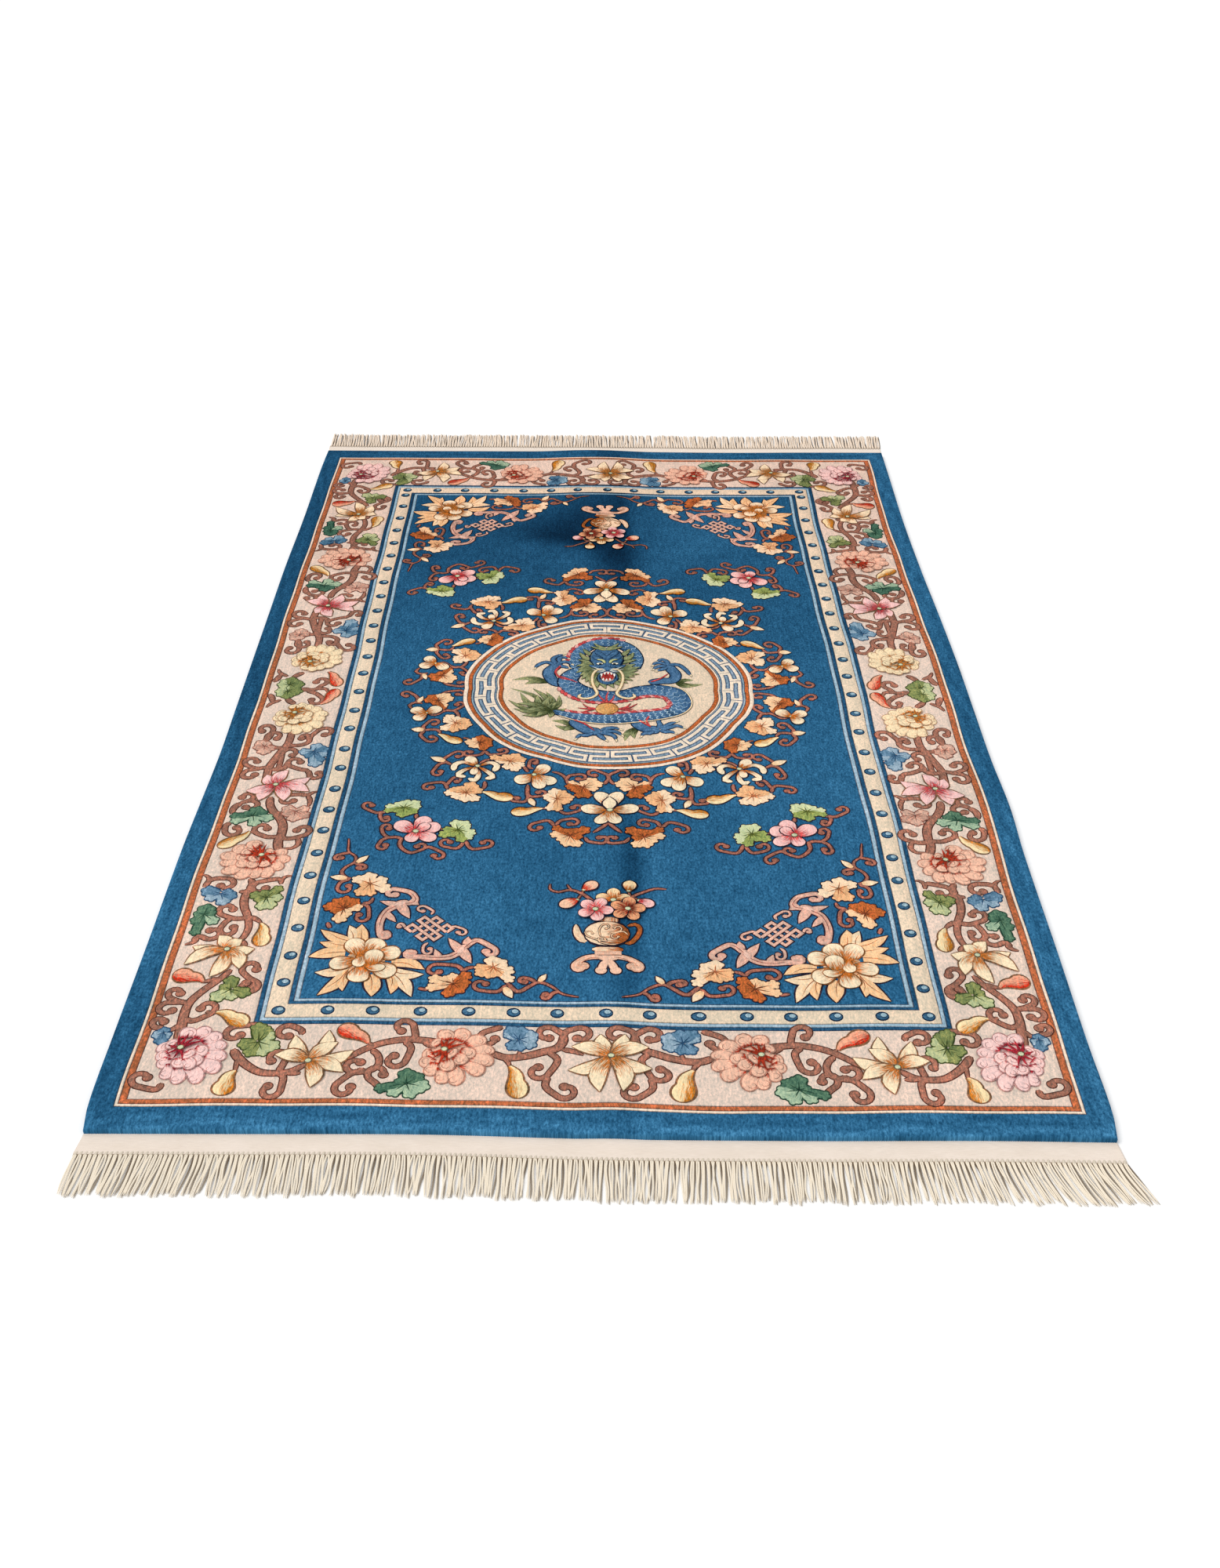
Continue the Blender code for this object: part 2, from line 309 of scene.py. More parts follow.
# Where each begins, and over how far it eases
OUTER_SIDES = (690, 40)
RIM_START = (1190, 20)
END_BAND = (1173, 6)
RIM_BAND = (1173, 5)
SIDE_BAND = (720, 6)


def nap_shade(x, y):
    """Painted light and shade of the pile at a place, from the way it leans there."""
    at = curve_of(NAP_SHADE_STRIPE, "y", "at", y)
    half_width = curve_of(NAP_SHADE_STRIPE, "y", "half_width", y)
    dark = curve_of(NAP_SHADE_STRIPE, "y", "dark", y)
    stripe = np.exp(-(((x - at) / half_width) ** 2))
    beside = np.exp(-(((x - at - 2.0 * half_width) / half_width) ** 2))
    away = x - curve_of(NAP_SHADE_FOLD, "y", "at", y)
    fold = np.exp(-((away / np.where(away > 0, FOLD_RIGHT, FOLD_LEFT)) ** 2))
    folded = 1 - curve_of(NAP_SHADE_FOLD, "y", "dark", y) * fold
    sides = {
        name: curve_of(NAP_SHADE_SIDES, "y", name, y) for name in ("outer_left", "left", "right", "outer_right")
    }
    share = smooth((x + 300) / 600)
    light = sides["left"] * (1 - share) + sides["right"] * share
    for name, sign in (("outer_left", -1), ("outer_right", 1)):
        out = eased(sign * x, *OUTER_SIDES)
        light = light * (1 - out) + sides[name] * out
    # A painted highlight along the near rim, with painted shade just inside it
    rim = eased(-y, *RIM_START)
    ends, edges = eased(np.abs(y), *END_BAND), eased(np.abs(x), *SIDE_BAND)
    streak_light = 1 + ends * brushing_shade(x, y) + edges * brushing_shade(y, x)
    inner = eased(-y, *RIM_BAND) * (1 - rim)
    striped = 1 - dark * stripe + BESIDE_STRIPE * dark * beside
    return light * striped * folded * streak_light * (1 + NEAR_RIM * rim - INSIDE_RIM * inner)


# Painted shade at the far end: what far wool of a warm colour loses of its red, green and blue, and how
# far its deep tones spread
FAR_WARM_SHADE = np.array([0.0, 0.08, 0.10])
FAR_SHADE_SPREAD = 0.3
# How much of the nap's painted light and shade warm tones take
WARM_NAP = 0.4


class Art:
    """Gathers patches of carved pile, each mirrored as its place asks, into one mesh."""

    def __init__(self):
        self.points, self.faces, self.count = [], [], 0
        self.tint, self.deep, self.shade, self.grain = [], [], [], []
        self.copies = ONCE
        self.base = PILE
        self.level = 1.0
        # Colour of each figure's dark outline: painted shade of its carved groove
        self.ink = "ink"
        self.fine = 1.5
        self.rise = RISE
        # Layers drawn: the outline of painted groove shade, and the fill
        self.layers = ("ink", "fill")

    def patch(self, flat, height, tint, deep, shade, grain):
        """Add a grid of points: places, heights over the floor, colours, shade and grain."""
        rows, columns = flat.shape[:2]
        tint, deep = (np.broadcast_to(linear(c), (rows, columns, 3)) for c in (tint, deep))
        self.patch_of(flat, height, tint, deep, shade, grain)

    def patch_of(self, flat, height, tint, deep, shade, grain):
        """As patch, with a colour for each point."""
        rows, columns = flat.shape[:2]
        index = np.arange(rows * columns).reshape(rows, columns)
        quads = np.stack([index[:-1, :-1], index[1:, :-1], index[1:, 1:], index[:-1, 1:]], -1)
        for across, along, shift in self.copies:
            place = flat * (across, along) + (shift, 0.0)
            down, right = place[-1, :] - place[0, :], place[:, -1] - place[:, 0]
            turned = np.cross(right.mean(0), down.mean(0)) > 0
            kept = quads[..., ::-1] if turned else quads
            self.points.append(np.concatenate([place, height[..., None]], -1).reshape(-1, 3))
            self.faces.append(kept.reshape(-1, 4) + self.count)
            self.tint.append(tint.reshape(-1, 3))
            self.deep.append(deep.reshape(-1, 3))
            self.shade.append(np.broadcast_to(shade, (rows, columns)).reshape(-1))
            number = np.full((rows, columns, 1), len(self.points) * 7.3)
            self.grain.append(np.concatenate([grain, number], -1).reshape(-1, 3))
            self.count += rows * columns

    def build(self, name, material, weld=False):
        """Lay everything gathered on the rug and return it as one object."""
        points = np.concatenate(self.points)
        mesh = bpy.data.meshes.new(name)
        faces = np.concatenate(self.faces)
        places = settle(points[:, :2], points[:, 2])
        mesh.from_pydata(places.tolist(), [], faces.tolist())
        tint = np.concatenate(self.tint)
        # Painted shade: warm tones grow darker and deeper towards the far end, and each point takes the
        # nap's painted light and shade
        far = smooth(points[:, 1:2] / 900) * (tint[:, :1] > tint[:, 2:])
        spread = 1 + FAR_SHADE_SPREAD * smooth(points[:, 1] / 700)
        light = nap_shade(points[:, 0], points[:, 1])
        light = np.where(tint[:, 0] > tint[:, 2], 1 + WARM_NAP * (light - 1), light)
        values = {
            "tint": ("FLOAT_COLOR", tint * (1 - far * FAR_WARM_SHADE)),
            "deep": ("FLOAT_COLOR", np.concatenate(self.deep)),
            "shade": ("FLOAT", np.concatenate(self.shade) * spread),
            "grain": ("FLOAT_VECTOR", np.concatenate(self.grain)),
            "nap_shade": ("FLOAT", light),
        }
        for key, (kind, data) in values.items():
            layer = mesh.attributes.new(key, kind, "POINT")
            if kind == "FLOAT_COLOR":
                data = np.concatenate([data, np.ones((len(data), 1))], 1)
            field = {"FLOAT": "value", "FLOAT_VECTOR": "vector", "FLOAT_COLOR": "color"}[kind]
            layer.data.foreach_set(field, np.ascontiguousarray(data, np.float32).ravel())
        if weld:
            welded = bmesh.new()
            welded.from_mesh(mesh)
            bmesh.ops.remove_doubles(welded, verts=list(welded.verts), dist=0.00002)
            welded.to_mesh(mesh)
            welded.free()
        mesh.shade_smooth()
        mesh.materials.append(material)
        piece = bpy.data.objects.new(name, mesh)
        bpy.context.scene.collection.objects.link(piece)
        return piece


def math_node(tree, operation, *values):
    """A Math node's result."""
    made = tree.nodes.new("ShaderNodeMath")
    made.operation = operation
    for socket, value in zip(made.inputs, values):
        if isinstance(value, bpy.types.NodeSocket):
            tree.links.new(value, socket)
        else:
            socket.default_value = value
    return made.outputs[0]


def stretched(tree, source, scale):
    """Coordinates scaled differently along each axis."""
    made = tree.nodes.new("ShaderNodeVectorMath")
    made.operation = "MULTIPLY"
    tree.links.new(source, made.inputs[0])
    made.inputs[1].default_value = scale
    return made.outputs[0]


def noise(tree, source, scale, detail=2.0, distortion=0.0):
    """A noise value about 0.5 over given coordinates."""
    made = tree.nodes.new("ShaderNodeTexNoise")
    made.inputs["Scale"].default_value = 1.0
    made.inputs["Detail"].default_value = detail
    made.inputs["Distortion"].default_value = distortion
    tree.links.new(stretched(tree, source, scale), made.inputs["Vector"])
    return made.outputs["Fac"]


def remap(tree, value, low, high, to_low, to_high):
    """Stretch a value to another range."""
    made = tree.nodes.new("ShaderNodeMapRange")
    for socket, number in zip(made.inputs, (value, low, high, to_low, to_high)):
        if isinstance(number, bpy.types.NodeSocket):
            tree.links.new(number, socket)
        else:
            socket.default_value = number
    return made.outputs[0]


def attribute(tree, name):
    """A node that reads one of the mesh's own values."""
    made = tree.nodes.new("ShaderNodeAttribute")
    made.attribute_name = name
    return made


def blend(tree, share, first, second, mode="MIX"):
    """Mix two colours."""
    made = tree.nodes.new("ShaderNodeMix")
    made.data_type = "RGBA"
    made.blend_type = mode
    for socket, value in zip((made.inputs[0], made.inputs[6], made.inputs[7]), (share, first, second)):
        if isinstance(value, bpy.types.NodeSocket):
            tree.links.new(value, socket)
        else:
            socket.default_value = value
    return made.outputs[2]


def new_material(name, roughness, sheen):
    """A matt cloth material, its node tree and its shader."""
    material = bpy.data.materials.new(name)
    material.use_nodes = True
    shader = material.node_tree.nodes["Principled BSDF"]
    shader.inputs["Roughness"].default_value = roughness
    shader.inputs["Specular IOR Level"].default_value = 0.03
    shader.inputs["Sheen Weight"].default_value = sheen
    shader.inputs["Sheen Roughness"].default_value = 0.6
    return material, material.node_tree, shader


def bumped(tree, shader, height, distance):
    """Give the shader a relief of the given height."""
    made = tree.nodes.new("ShaderNodeBump")
    made.inputs["Distance"].default_value = distance
    made.inputs["Strength"].default_value = 1.0
    tree.links.new(height, made.inputs["Height"])
    tree.links.new(made.outputs["Normal"], shader.inputs["Normal"])


def carved_wool():
    """Cut pile: two tones that hatch into each other, rows of knots, blotches, and the painted light and
    shade of its nap.
    """
    material, tree, shader = new_material("carved_wool", 1.0, 0.0)
    place = tree.nodes.new("ShaderNodeTexCoord").outputs["Object"]
    hatch = noise(tree, attribute(tree, "grain").outputs["Vector"], (0.62, 0.075, 1.0), 1.0)
    knots = noise(tree, place, (290, 150, 1), 2.0)
    shade = math_node(
        tree, "ADD", attribute(tree, "shade").outputs["Fac"], remap(tree, hatch, 0.25, 0.75, -0.34, 0.34),
    )
    shade = math_node(tree, "ADD", shade, remap(tree, knots, 0.3, 0.7, -0.12, 0.12))
    tone = blend(
        tree,
        remap(tree, shade, 0.22, 0.78, 0.0, 1.0),
        attribute(tree, "tint").outputs["Color"],
        attribute(tree, "deep").outputs["Color"],
    )
    streaks = noise(tree, place, (150, 34, 1), 2.0)
    tufts = noise(tree, place, (620, 380, 1), 2.0)
    blotch = noise(tree, place, (30, 20, 1), 3.0, 0.6)
    patchy = noise(tree, place, (5.0, 3.4, 1), 3.0, 0.4)
    # The nap's painted light and shade, which pale tones take little of, multiplies the colour
    light = attribute(tree, "nap_shade").outputs["Fac"]
    texture = 1.0
    for value, spread in ((knots, 0.46), (streaks, 0.24), (tufts, 0.26), (blotch, 0.12), (patchy, 0.12)):
        texture = math_node(
            tree, "MULTIPLY", texture, remap(tree, value, 0.3, 0.7, 1 - spread, 1 + spread),
        )
    pale = math_node(tree, "MULTIPLY", lightness(tree, tone), 1.6)
    light = faded(tree, light, remap(tree, pale, 0.0, 1.0, 1.0, 0.06))
    light = math_node(
        tree, "MULTIPLY", light, faded(tree, texture, remap(tree, pale, 0.0, 1.0, 1.0, 0.34)),
    )
    grey = tree.nodes.new("ShaderNodeCombineColor")
    for socket, power in zip(grey.inputs, (1.5, 1.06, 0.92)):
        tree.links.new(math_node(tree, "POWER", light, power), socket)
    tree.links.new(blend(tree, 1.0, tone, grey.outputs[0], "MULTIPLY"), shader.inputs["Base Color"])
    relief = math_node(
        tree, "ADD", math_node(tree, "MULTIPLY", knots, 0.9), math_node(tree, "MULTIPLY", tufts, 0.5),
    )
    relief = math_node(tree, "ADD", relief, math_node(tree, "MULTIPLY", blotch, 1.4))
    bumped(tree, shader, relief, 0.0012)
    return material


def faded(tree, value, share):
    """Bring a value nearer to 1, down to a share of its difference."""
    less = math_node(tree, "MULTIPLY", math_node(tree, "SUBTRACT", value, 1.0), share)
    return math_node(tree, "ADD", less, 1.0)


def lightness(tree, colour):
    """How light a colour is."""
    made = tree.nodes.new("ShaderNodeRGBToBW")
    tree.links.new(colour, made.inputs[0])
    return made.outputs[0]


def woven_cotton():
    """Plain weave of the rug's ends: ribs along the warps, crossed by fine wefts."""
    material, tree, shader = new_material("woven_cotton", 0.9, 0.1)
    place = tree.nodes.new("ShaderNodeTexCoord").outputs["Object"]
    wefts = noise(tree, place, (60, 900, 1), 1.0)
    soil = noise(tree, place, (14, 30, 1), 3.0)
    tone = blend(
        tree, remap(tree, soil, 0.35, 0.75, 0.0, 0.5), (*linear("web"), 1), (*linear((228, 212, 194)), 1),
    )
    tone = blend(tree, remap(tree, wefts, 0.3, 0.7, 0.0, 0.25), tone, (*linear((216, 198, 180)), 1))
    tree.links.new(tone, shader.inputs["Base Color"])
    bumped(tree, shader, wefts, 0.0006)
    return material


def cotton_yarn():
    """Twisted warp yarn, with painted shadow down the sides of its knots and over the under layer."""
    material, tree, shader = new_material("cotton_yarn", 0.85, 0.15)
    grain = attribute(tree, "grain").outputs["Vector"]
    twist = noise(tree, grain, (1.4, 0.9, 0.35), 1.0)
    tone = blend(
        tree,
        remap(tree, attribute(tree, "shade").outputs["Fac"], 0.0, 1.0, 0.0, 1.0),
        attribute(tree, "tint").outputs["Color"],
        attribute(tree, "deep").outputs["Color"],
    )
    tone = blend(tree, remap(tree, twist, 0.3, 0.7, 0.0, 0.18), tone, (*linear((206, 184, 152)), 1))
    tree.links.new(tone, shader.inputs["Base Color"])
    bumped(tree, shader, twist, 0.0003)
    return material


def steps(count):
    """Evenly spaced shares from 0 to 1."""
    return np.linspace(0, 1, count)


def plain_grain(flat):
    """Grain that runs along the rug, for patches with no direction of their own."""
    return np.stack([flat[..., 0], flat[..., 1]], -1)


ACROSS = np.array([-1.0, -0.8, 0.0, 0.8, 1.0])
DOME = np.array([-1.0, 0.6, 1.0, 0.6, -1.0])
# How far in from each side of a figure its painted groove shade reaches, as a share of the figure's width
GROOVE_SHADE_EDGE = 0.05


def around(centre, reach, angle):
    """The place at a distance from a centre, and at an angle in degrees."""
    turn = math.radians(angle)
    return centre[0] + reach * math.cos(turn), centre[1] + reach * math.sin(turn)


def spline(points, count):
    """A smooth line through the points, its samples evenly spaced."""
    p = np.array(points, float)
    if len(p) == 2:
        return p[0] + (p[1] - p[0]) * steps(count)[:, None]
    p = np.concatenate([2 * p[:1] - p[1:2], p, 2 * p[-1:] - p[-2:-1]])
    t = np.linspace(0, 1, 12, endpoint=False)[:, None]
    parts = []
    for a, b, c, d in zip(p, p[1:], p[2:], p[3:]):
        parts.append(
            0.5 * (
                2 * b + (c - a) * t + (2 * a - 5 * b + 4 * c - d) * t**2 + (3 * b - a - 3 * c + d) * t**3
            )
        )
    line = np.concatenate([*parts, p[-2:-1]])
    return resampled(line, count)


def resampled(line, count):
    """The same line with evenly spaced samples."""
    run = np.r_[0, np.cumsum(np.hypot(*np.diff(line, axis=0).T))]
    at = np.linspace(0, run[-1], count)
    return np.stack([np.interp(at, run, line[:, 0]), np.interp(at, run, line[:, 1])], -1)


def length_of(line):
    """Length of a line of points."""
    return float(np.hypot(*np.diff(line, axis=0).T).sum())


def edges_of(line, left, right):
    """Both sides of a ribbon along a line, kept from folding over in tight bends."""
    along = np.gradient(line, axis=0)
    size = np.hypot(*along.T)[:, None]
    along = along / np.maximum(size, 1e-6)
    turn = np.gradient(np.unwrap(np.arctan2(along[:, 1], along[:, 0]))) / np.maximum(size[:, 0], 1e-6)
    normal = np.stack([-along[:, 1], along[:, 0]], -1)
    left = np.minimum(left, 0.95 / np.maximum(turn, 1e-4))
    right = np.minimum(right, 0.95 / np.maximum(-turn, 1e-4))
    return line + normal * left[:, None], line - normal * right[:, None]


def outline_of(left, right, width):
    """The two sides moved outwards by the width of the dark outline, round both ends."""
    loop = np.concatenate([left, right[::-1]])
    tangent = np.roll(loop, -1, 0) - np.roll(loop, 1, 0)
    tangent = tangent / np.maximum(np.hypot(*tangent.T)[:, None], 1e-6)
    outward = np.stack([-tangent[:, 1], tangent[:, 0]], -1)
    moved = loop + outward * width
    return moved[: len(left)], moved[len(left) :][::-1]


def blade(art, line, left, right, tint, deep, shade=0.2, rise=None, ink=None, ink_line=GROOVE_SHADE_WIDTH):
    """A domed ribbon or petal along a line, with half widths on each side and a dark outline of painted
    groove shade.
    """
    count = len(line)
    rise = rise or art.rise
    left, right = (np.broadcast_to(half, count).astype(float) for half in (left, right))
    first, second = edges_of(line, left, right)
    ground = art.base + art.level * LEVEL
    if "fill" in art.layers:
        share = (ACROSS[None, :, None] + 1) / 2
        flat = first[:, None] * (1 - share) + second[:, None] * share
        height = np.broadcast_to(ground + np.where(DOME > 0, DOME * rise, -SINK), (count, len(DOME)))
        run = np.r_[0, np.cumsum(np.hypot(*np.diff(line, axis=0).T))]
        if callable(shade):
            shade = shade(steps(count)[:, None], ACROSS[None])
        shade = np.broadcast_to(shade, (count, len(ACROSS)))
        offset = (share[..., 0] * 2 - 1) * np.maximum(left, right)[:, None]
        grain = np.stack([offset, np.broadcast_to(run[:, None], offset.shape)], -1)
        art.patch(flat, height, tint, deep, shade, grain)
    # The dark outline: painted shade of the carved groove round the figure
    if "ink" in art.layers and ink_line > 0:
        ink = ink or art.ink
        first_line, second_line = outline_of(first, second, ink_line)
        inset = (second - first) * GROOVE_SHADE_EDGE
        for flat, drop in (
            ((first_line, first + inset), (-GROOVE_SHADE_SINK, 0.04)),
            ((second - inset, second_line), (0.04, -GROOVE_SHADE_SINK)),
        ):
            flat = np.stack(flat, 1)
            height = np.broadcast_to(ground + np.array(drop), (count, 2))
            art.patch(flat, height, ink, ink, 0.0, plain_grain(flat))


def joined(art, draw):
    """Draw several forms as one: all their outlines of painted groove shade, then their fills over them.
    """
    art.layers = ("ink",)
    draw()
    art.layers = ("fill",)
    art.level += 0.4
    draw()
    art.level -= 0.4
    art.layers = ("ink", "fill")


def rounded(t, start, peak, pointed=False):
    """Half width along a petal as a share: from its base, to its widest place, to its tip."""
    rising = start + (1 - start) * np.sin(np.pi / 2 * np.clip(t / peak, 0, 1))
    s = np.clip((t - peak) / (1 - peak), 0, 1)
    falling = np.cos(np.pi / 2 * s) if pointed else np.sqrt(1 - s * s)
    return np.where(t < peak, rising, falling)


def from_base(reach):
    """Deep colour at the base, giving way to the tint by a share of the length."""
    return lambda t, v: np.clip(1.1 - t / reach, 0, 1) + 0 * v


def from_side(sign):
    """Deep colour along one side."""
    return lambda t, v: np.clip(0.42 + 0.6 * sign * v + 0.25 * (t - 0.5), 0, 1)


def petal(art, base, tip, half, colours, shade, bend=0.0, start=0.35, peak=0.62, pointed=False, **kind):
    """One petal from its base to its tip, bent sideways by a share of its length."""
    base, tip = np.array(base, float), np.array(tip, float)
    side = np.array([-(tip - base)[1], (tip - base)[0]])
    count = 10 if half > 6 else 7
    line = spline([base, (base + tip) / 2 + side * bend, tip], 15)
    t = np.sin(steps(count) * np.pi / 2) ** 1.2
    line = np.stack([np.interp(t, steps(15), line[:, 0]), np.interp(t, steps(15), line[:, 1])], -1)
    width = half * rounded(t, start, peak, pointed)
    blade(art, line, width, width, *colours, shade=shade, **kind)


def oval(art, centre, radius, colours, shade=0.2, squash=1.0, angle=0.0, **kind):
    """A round or oval spot."""
    t = 1 - np.cos(steps(6 if radius < 7 else 9) * np.pi)
    turn = np.array([math.cos(angle), math.sin(angle)])
    line = np.array(centre, float) + (t - 1)[:, None] * radius * turn
    width = radius * squash * np.sqrt(np.clip(1 - (t - 1) ** 2, 0, 1))
    blade(art, line, width, width, *colours, shade=shade, **kind)


def stem(art, points, start, end, colours, samples=None, shade=None, cap=True, **kind):
    """A ribbon through the points, tapering from one half width to another."""
    line = spline(points, 40)
    count = samples or max(6, int(length_of(line) / 6))
    line = resampled(line, count)
    width = start + (end - start) * steps(count)
    if cap:
        width[[0, -1]] *= 0.35
        width[[1, -2]] *= 0.9
    shade = shade or (lambda t, v: 0.25 + 0.25 * v**2 + 0 * t)
    blade(art, line, width, width, *colours, shade=shade, **kind)


# Degrees that a scroll winds through before its ball
CURL_SWEEP = 235


def scroll(art, points, ball, turn, half, radius, colours, spot=None, line=None):
    """A ribbon that curls round and ends in a ball; turn is 1 anticlockwise and -1 clockwise."""
    last, ball = np.array(points[-1], float), np.array(ball, float)
    centre = ball
    sweep = steps(14)
    for _ in range(6):
        away = last - centre
        far = np.hypot(*away)
        reach = min(radius, far)
        start = math.atan2(away[1], away[0]) + turn * math.acos(reach / far)
        angle = start + turn * math.radians(CURL_SWEEP) * sweep
        circle = reach * (1 - 0.5 * smooth((sweep - 0.3) / 0.7))
        arc = centre + circle[:, None] * np.stack([np.cos(angle), np.sin(angle)], -1)
        centre = centre + 0.7 * (ball - arc[-1])
    joined = [*points, *arc] if far > radius * 1.25 else [*points[:-1], *arc]
    path = spline(joined, 60)
    path = resampled(path, max(12, int(length_of(path) / 4.4)))
    t = steps(len(path))
    width = half * (1 - 0.12 * t)
    width[0] *= 0.4
    blade(
        art, path, width, width, *colours, shade=lambda t, v: 0.25 + 0.3 * v**2 + 0 * t,
        ink_line=line or GROOVE_SHADE_WIDTH,
    )
    oval(art, ball, spot or half * 1.4, colours, shade=0.45, ink_line=line or GROOVE_SHADE_WIDTH)


def all_stems(art, rows, widen, colours, **kind):
    """Stems from a table, all widened alike."""
    for row in rows:
        stem(art, row["points"], widen * row["start"], widen * row["end"], colours, **kind)


def all_scrolls(art, rows, half, radius, colours, **kind):
    """Scrolls from a table, which may give each its own half width and radius."""
    for row in rows:
        size = (row.get("half", half), row.get("radius", radius))
        scroll(art, row["points"], row["ball"], row["turn"], *size, colours, **kind)


# Small rounds along a lobe's edge, as shares of its half width: forward, sideways and radius
SCALLOPS = ((-0.18, 0.0, 0.40), (-0.62, 0.62, 0.42), (-0.62, -0.62, 0.42))


def leaf(art, centre, lobes, kind):
    """A lobed leaf of two tones, with veins; each lobe has its tip, half width and tone."""
    light, dark, vein = kind

    def draw():
        low = art.level
        for x, y, half, tone in lobes:
            colours = (dark, vein) if tone else (light, dark)
            base = np.array(centre, float) * 0.9 + np.array((x, y)) * 0.1
            art.level = low + 0.5 * tone
            petal(
                art, base, (x, y), half * 0.92, colours, lambda t, v: 0.34 * (1 - t) + 0.14 * v**2,
                start=0.6, peak=0.6,
            )
            ahead = np.array((x, y), float) - base
            ahead = ahead / np.hypot(*ahead)
            aside = np.array([-ahead[1], ahead[0]])
            for forward, sideways, size in SCALLOPS:
                place = np.array((x, y)) + half * (forward * ahead + sideways * aside)
                oval(art, place, half * size, colours, shade=0.12)
        art.level = low

    joined(art, draw)
    art.level += 1.3
    for x, y, half, tone in lobes:
        tip = np.array(centre, float) * 0.38 + np.array((x, y)) * 0.62
        petal(art, centre, tip, 1.2, (vein, vein), 0.5, start=0.6, peak=0.3, pointed=True, ink_line=0)
    art.level -= 1.3


def bud(art, thin, fat, half, colours, side, lobed=1):
    """A gourd-shaped bud from its thin end to its fat end, deep along one side."""
    thin, fat = np.array(thin, float), np.array(fat, float)
    t = np.sin(steps(15) * np.pi / 2) ** 1.1
    across = np.array([-(fat - thin)[1], (fat - thin)[0]])
    line = thin + (fat - thin) * t[:, None] + across * (0.06 * np.sin(np.pi * t))[:, None] * side
    pear = half * (0.16 + 0.84 * smooth(t / 0.7)) * np.sqrt(
        np.clip(1 - np.clip((t - 0.72) / 0.28, 0, 1) ** 2, 0, 1)
    )
    second = half * np.sqrt(np.clip(1 - ((t - 0.72) / 0.28) ** 2, 0, 1))
    first = half * 0.74 * np.sqrt(np.clip(1 - ((t - 0.38) / 0.34) ** 2, 0, 1))
    double = np.maximum(np.maximum(first, second), half * 0.14 * (t < 0.9))
    left, right = (double, pear) if lobed * side > 0 else (pear, double)
    blade(art, line, left, right, *colours, shade=from_side(side))


def eye(art, centre, radius=4.5):
    """The round eye in the middle of a flower."""
    # Its outline is painted shade of its carved groove
    oval(art, centre, radius, ((206, 214, 178), (150, 160, 120)), shade=0.1, ink=(110, 90, 70))


def lily(art, centre, tips, half, colours, reach=0.5, radius=4.5):
    """A flower of pointed petals, each deep at its base."""
    low = art.level
    for x, y, bend in tips:
        art.level += 0.8
        petal(
            art, centre, (x, y), 1.22 * half, colours, from_base(reach),
            bend=1.9 * bend, start=0.2, peak=0.52, pointed=True, ink_line=art.fine,
        )
    art.level += 1.2
    eye(art, centre, radius)
    art.level = low


def peony(art, centre, lobes, stamens, colours, heart=0.5):
    """A ruffled flower: round curled petals, then dark stamens from its eye."""
    low = art.level
    middle = np.mean([(x, y) for x, y, _, _ in lobes], 0)
    oval(art, (middle + centre) / 2, 34, colours, shade=0.2, ink_line=0)
    for x, y, half, bend in lobes:
        art.level += 0.7
        tip = np.array((x, y), float)
        base = np.array(centre, float) * heart + tip * (1 - heart)
        petal(
            art, base, tip, half, colours, from_base(0.25), bend=bend, start=0.75, peak=0.55,
            ink_line=art.fine,
        )
        ahead = (tip - base) / np.hypot(*(tip - base))
        turn = math.atan2(ahead[1], ahead[0]) + np.radians([70, 20, -60, -130, -200])
        curl = tip - ahead * 0.86 * half + 0.5 * half * np.stack([np.cos(turn), np.sin(turn)], -1)
        art.level += 0.35
        # Curled carved lines on the petal, in painted groove shade
        stem(art, curl, 0.9, 0.6, (art.ink, art.ink), samples=7, ink_line=0)
        art.level -= 0.35
    art.level += 1.0
    for x, y in stamens:
        petal(
            art, centre, (x, y), 2.9, (colours[1], colours[1]), 0.5,
            bend=0.05, start=0.8, peak=0.2, pointed=True, ink_line=0,
        )
    art.level += 1.2
    eye(art, centre)
    art.level = low


# Points along the frame's sides and ends; the carved line's width and depth; the field's own edge
SIDE_STEPS = np.linspace(-1, 1, 111)
END_STEPS = np.linspace(-1, 1, 81)
GROOVE = 1.2
GROOVE_DEPTH = 1.4
WIDE_BAND = 60
FIELD_EDGE = 6.0
# The pile's rounded edge: how far in, and how far down
ROUNDED_EDGE = ((0.0, -PILE), (0.0, -PILE * 0.72), (0.0, -4.2), (0.8, -2.2), (2.2, -0.8), (5.0, 0.0))


def rectangle(band_side, band_end):
    """Half width and half length of the rectangle at given distances in from the edges."""
    return HALF_WIDTH - band_side, HALF_LENGTH - band_end


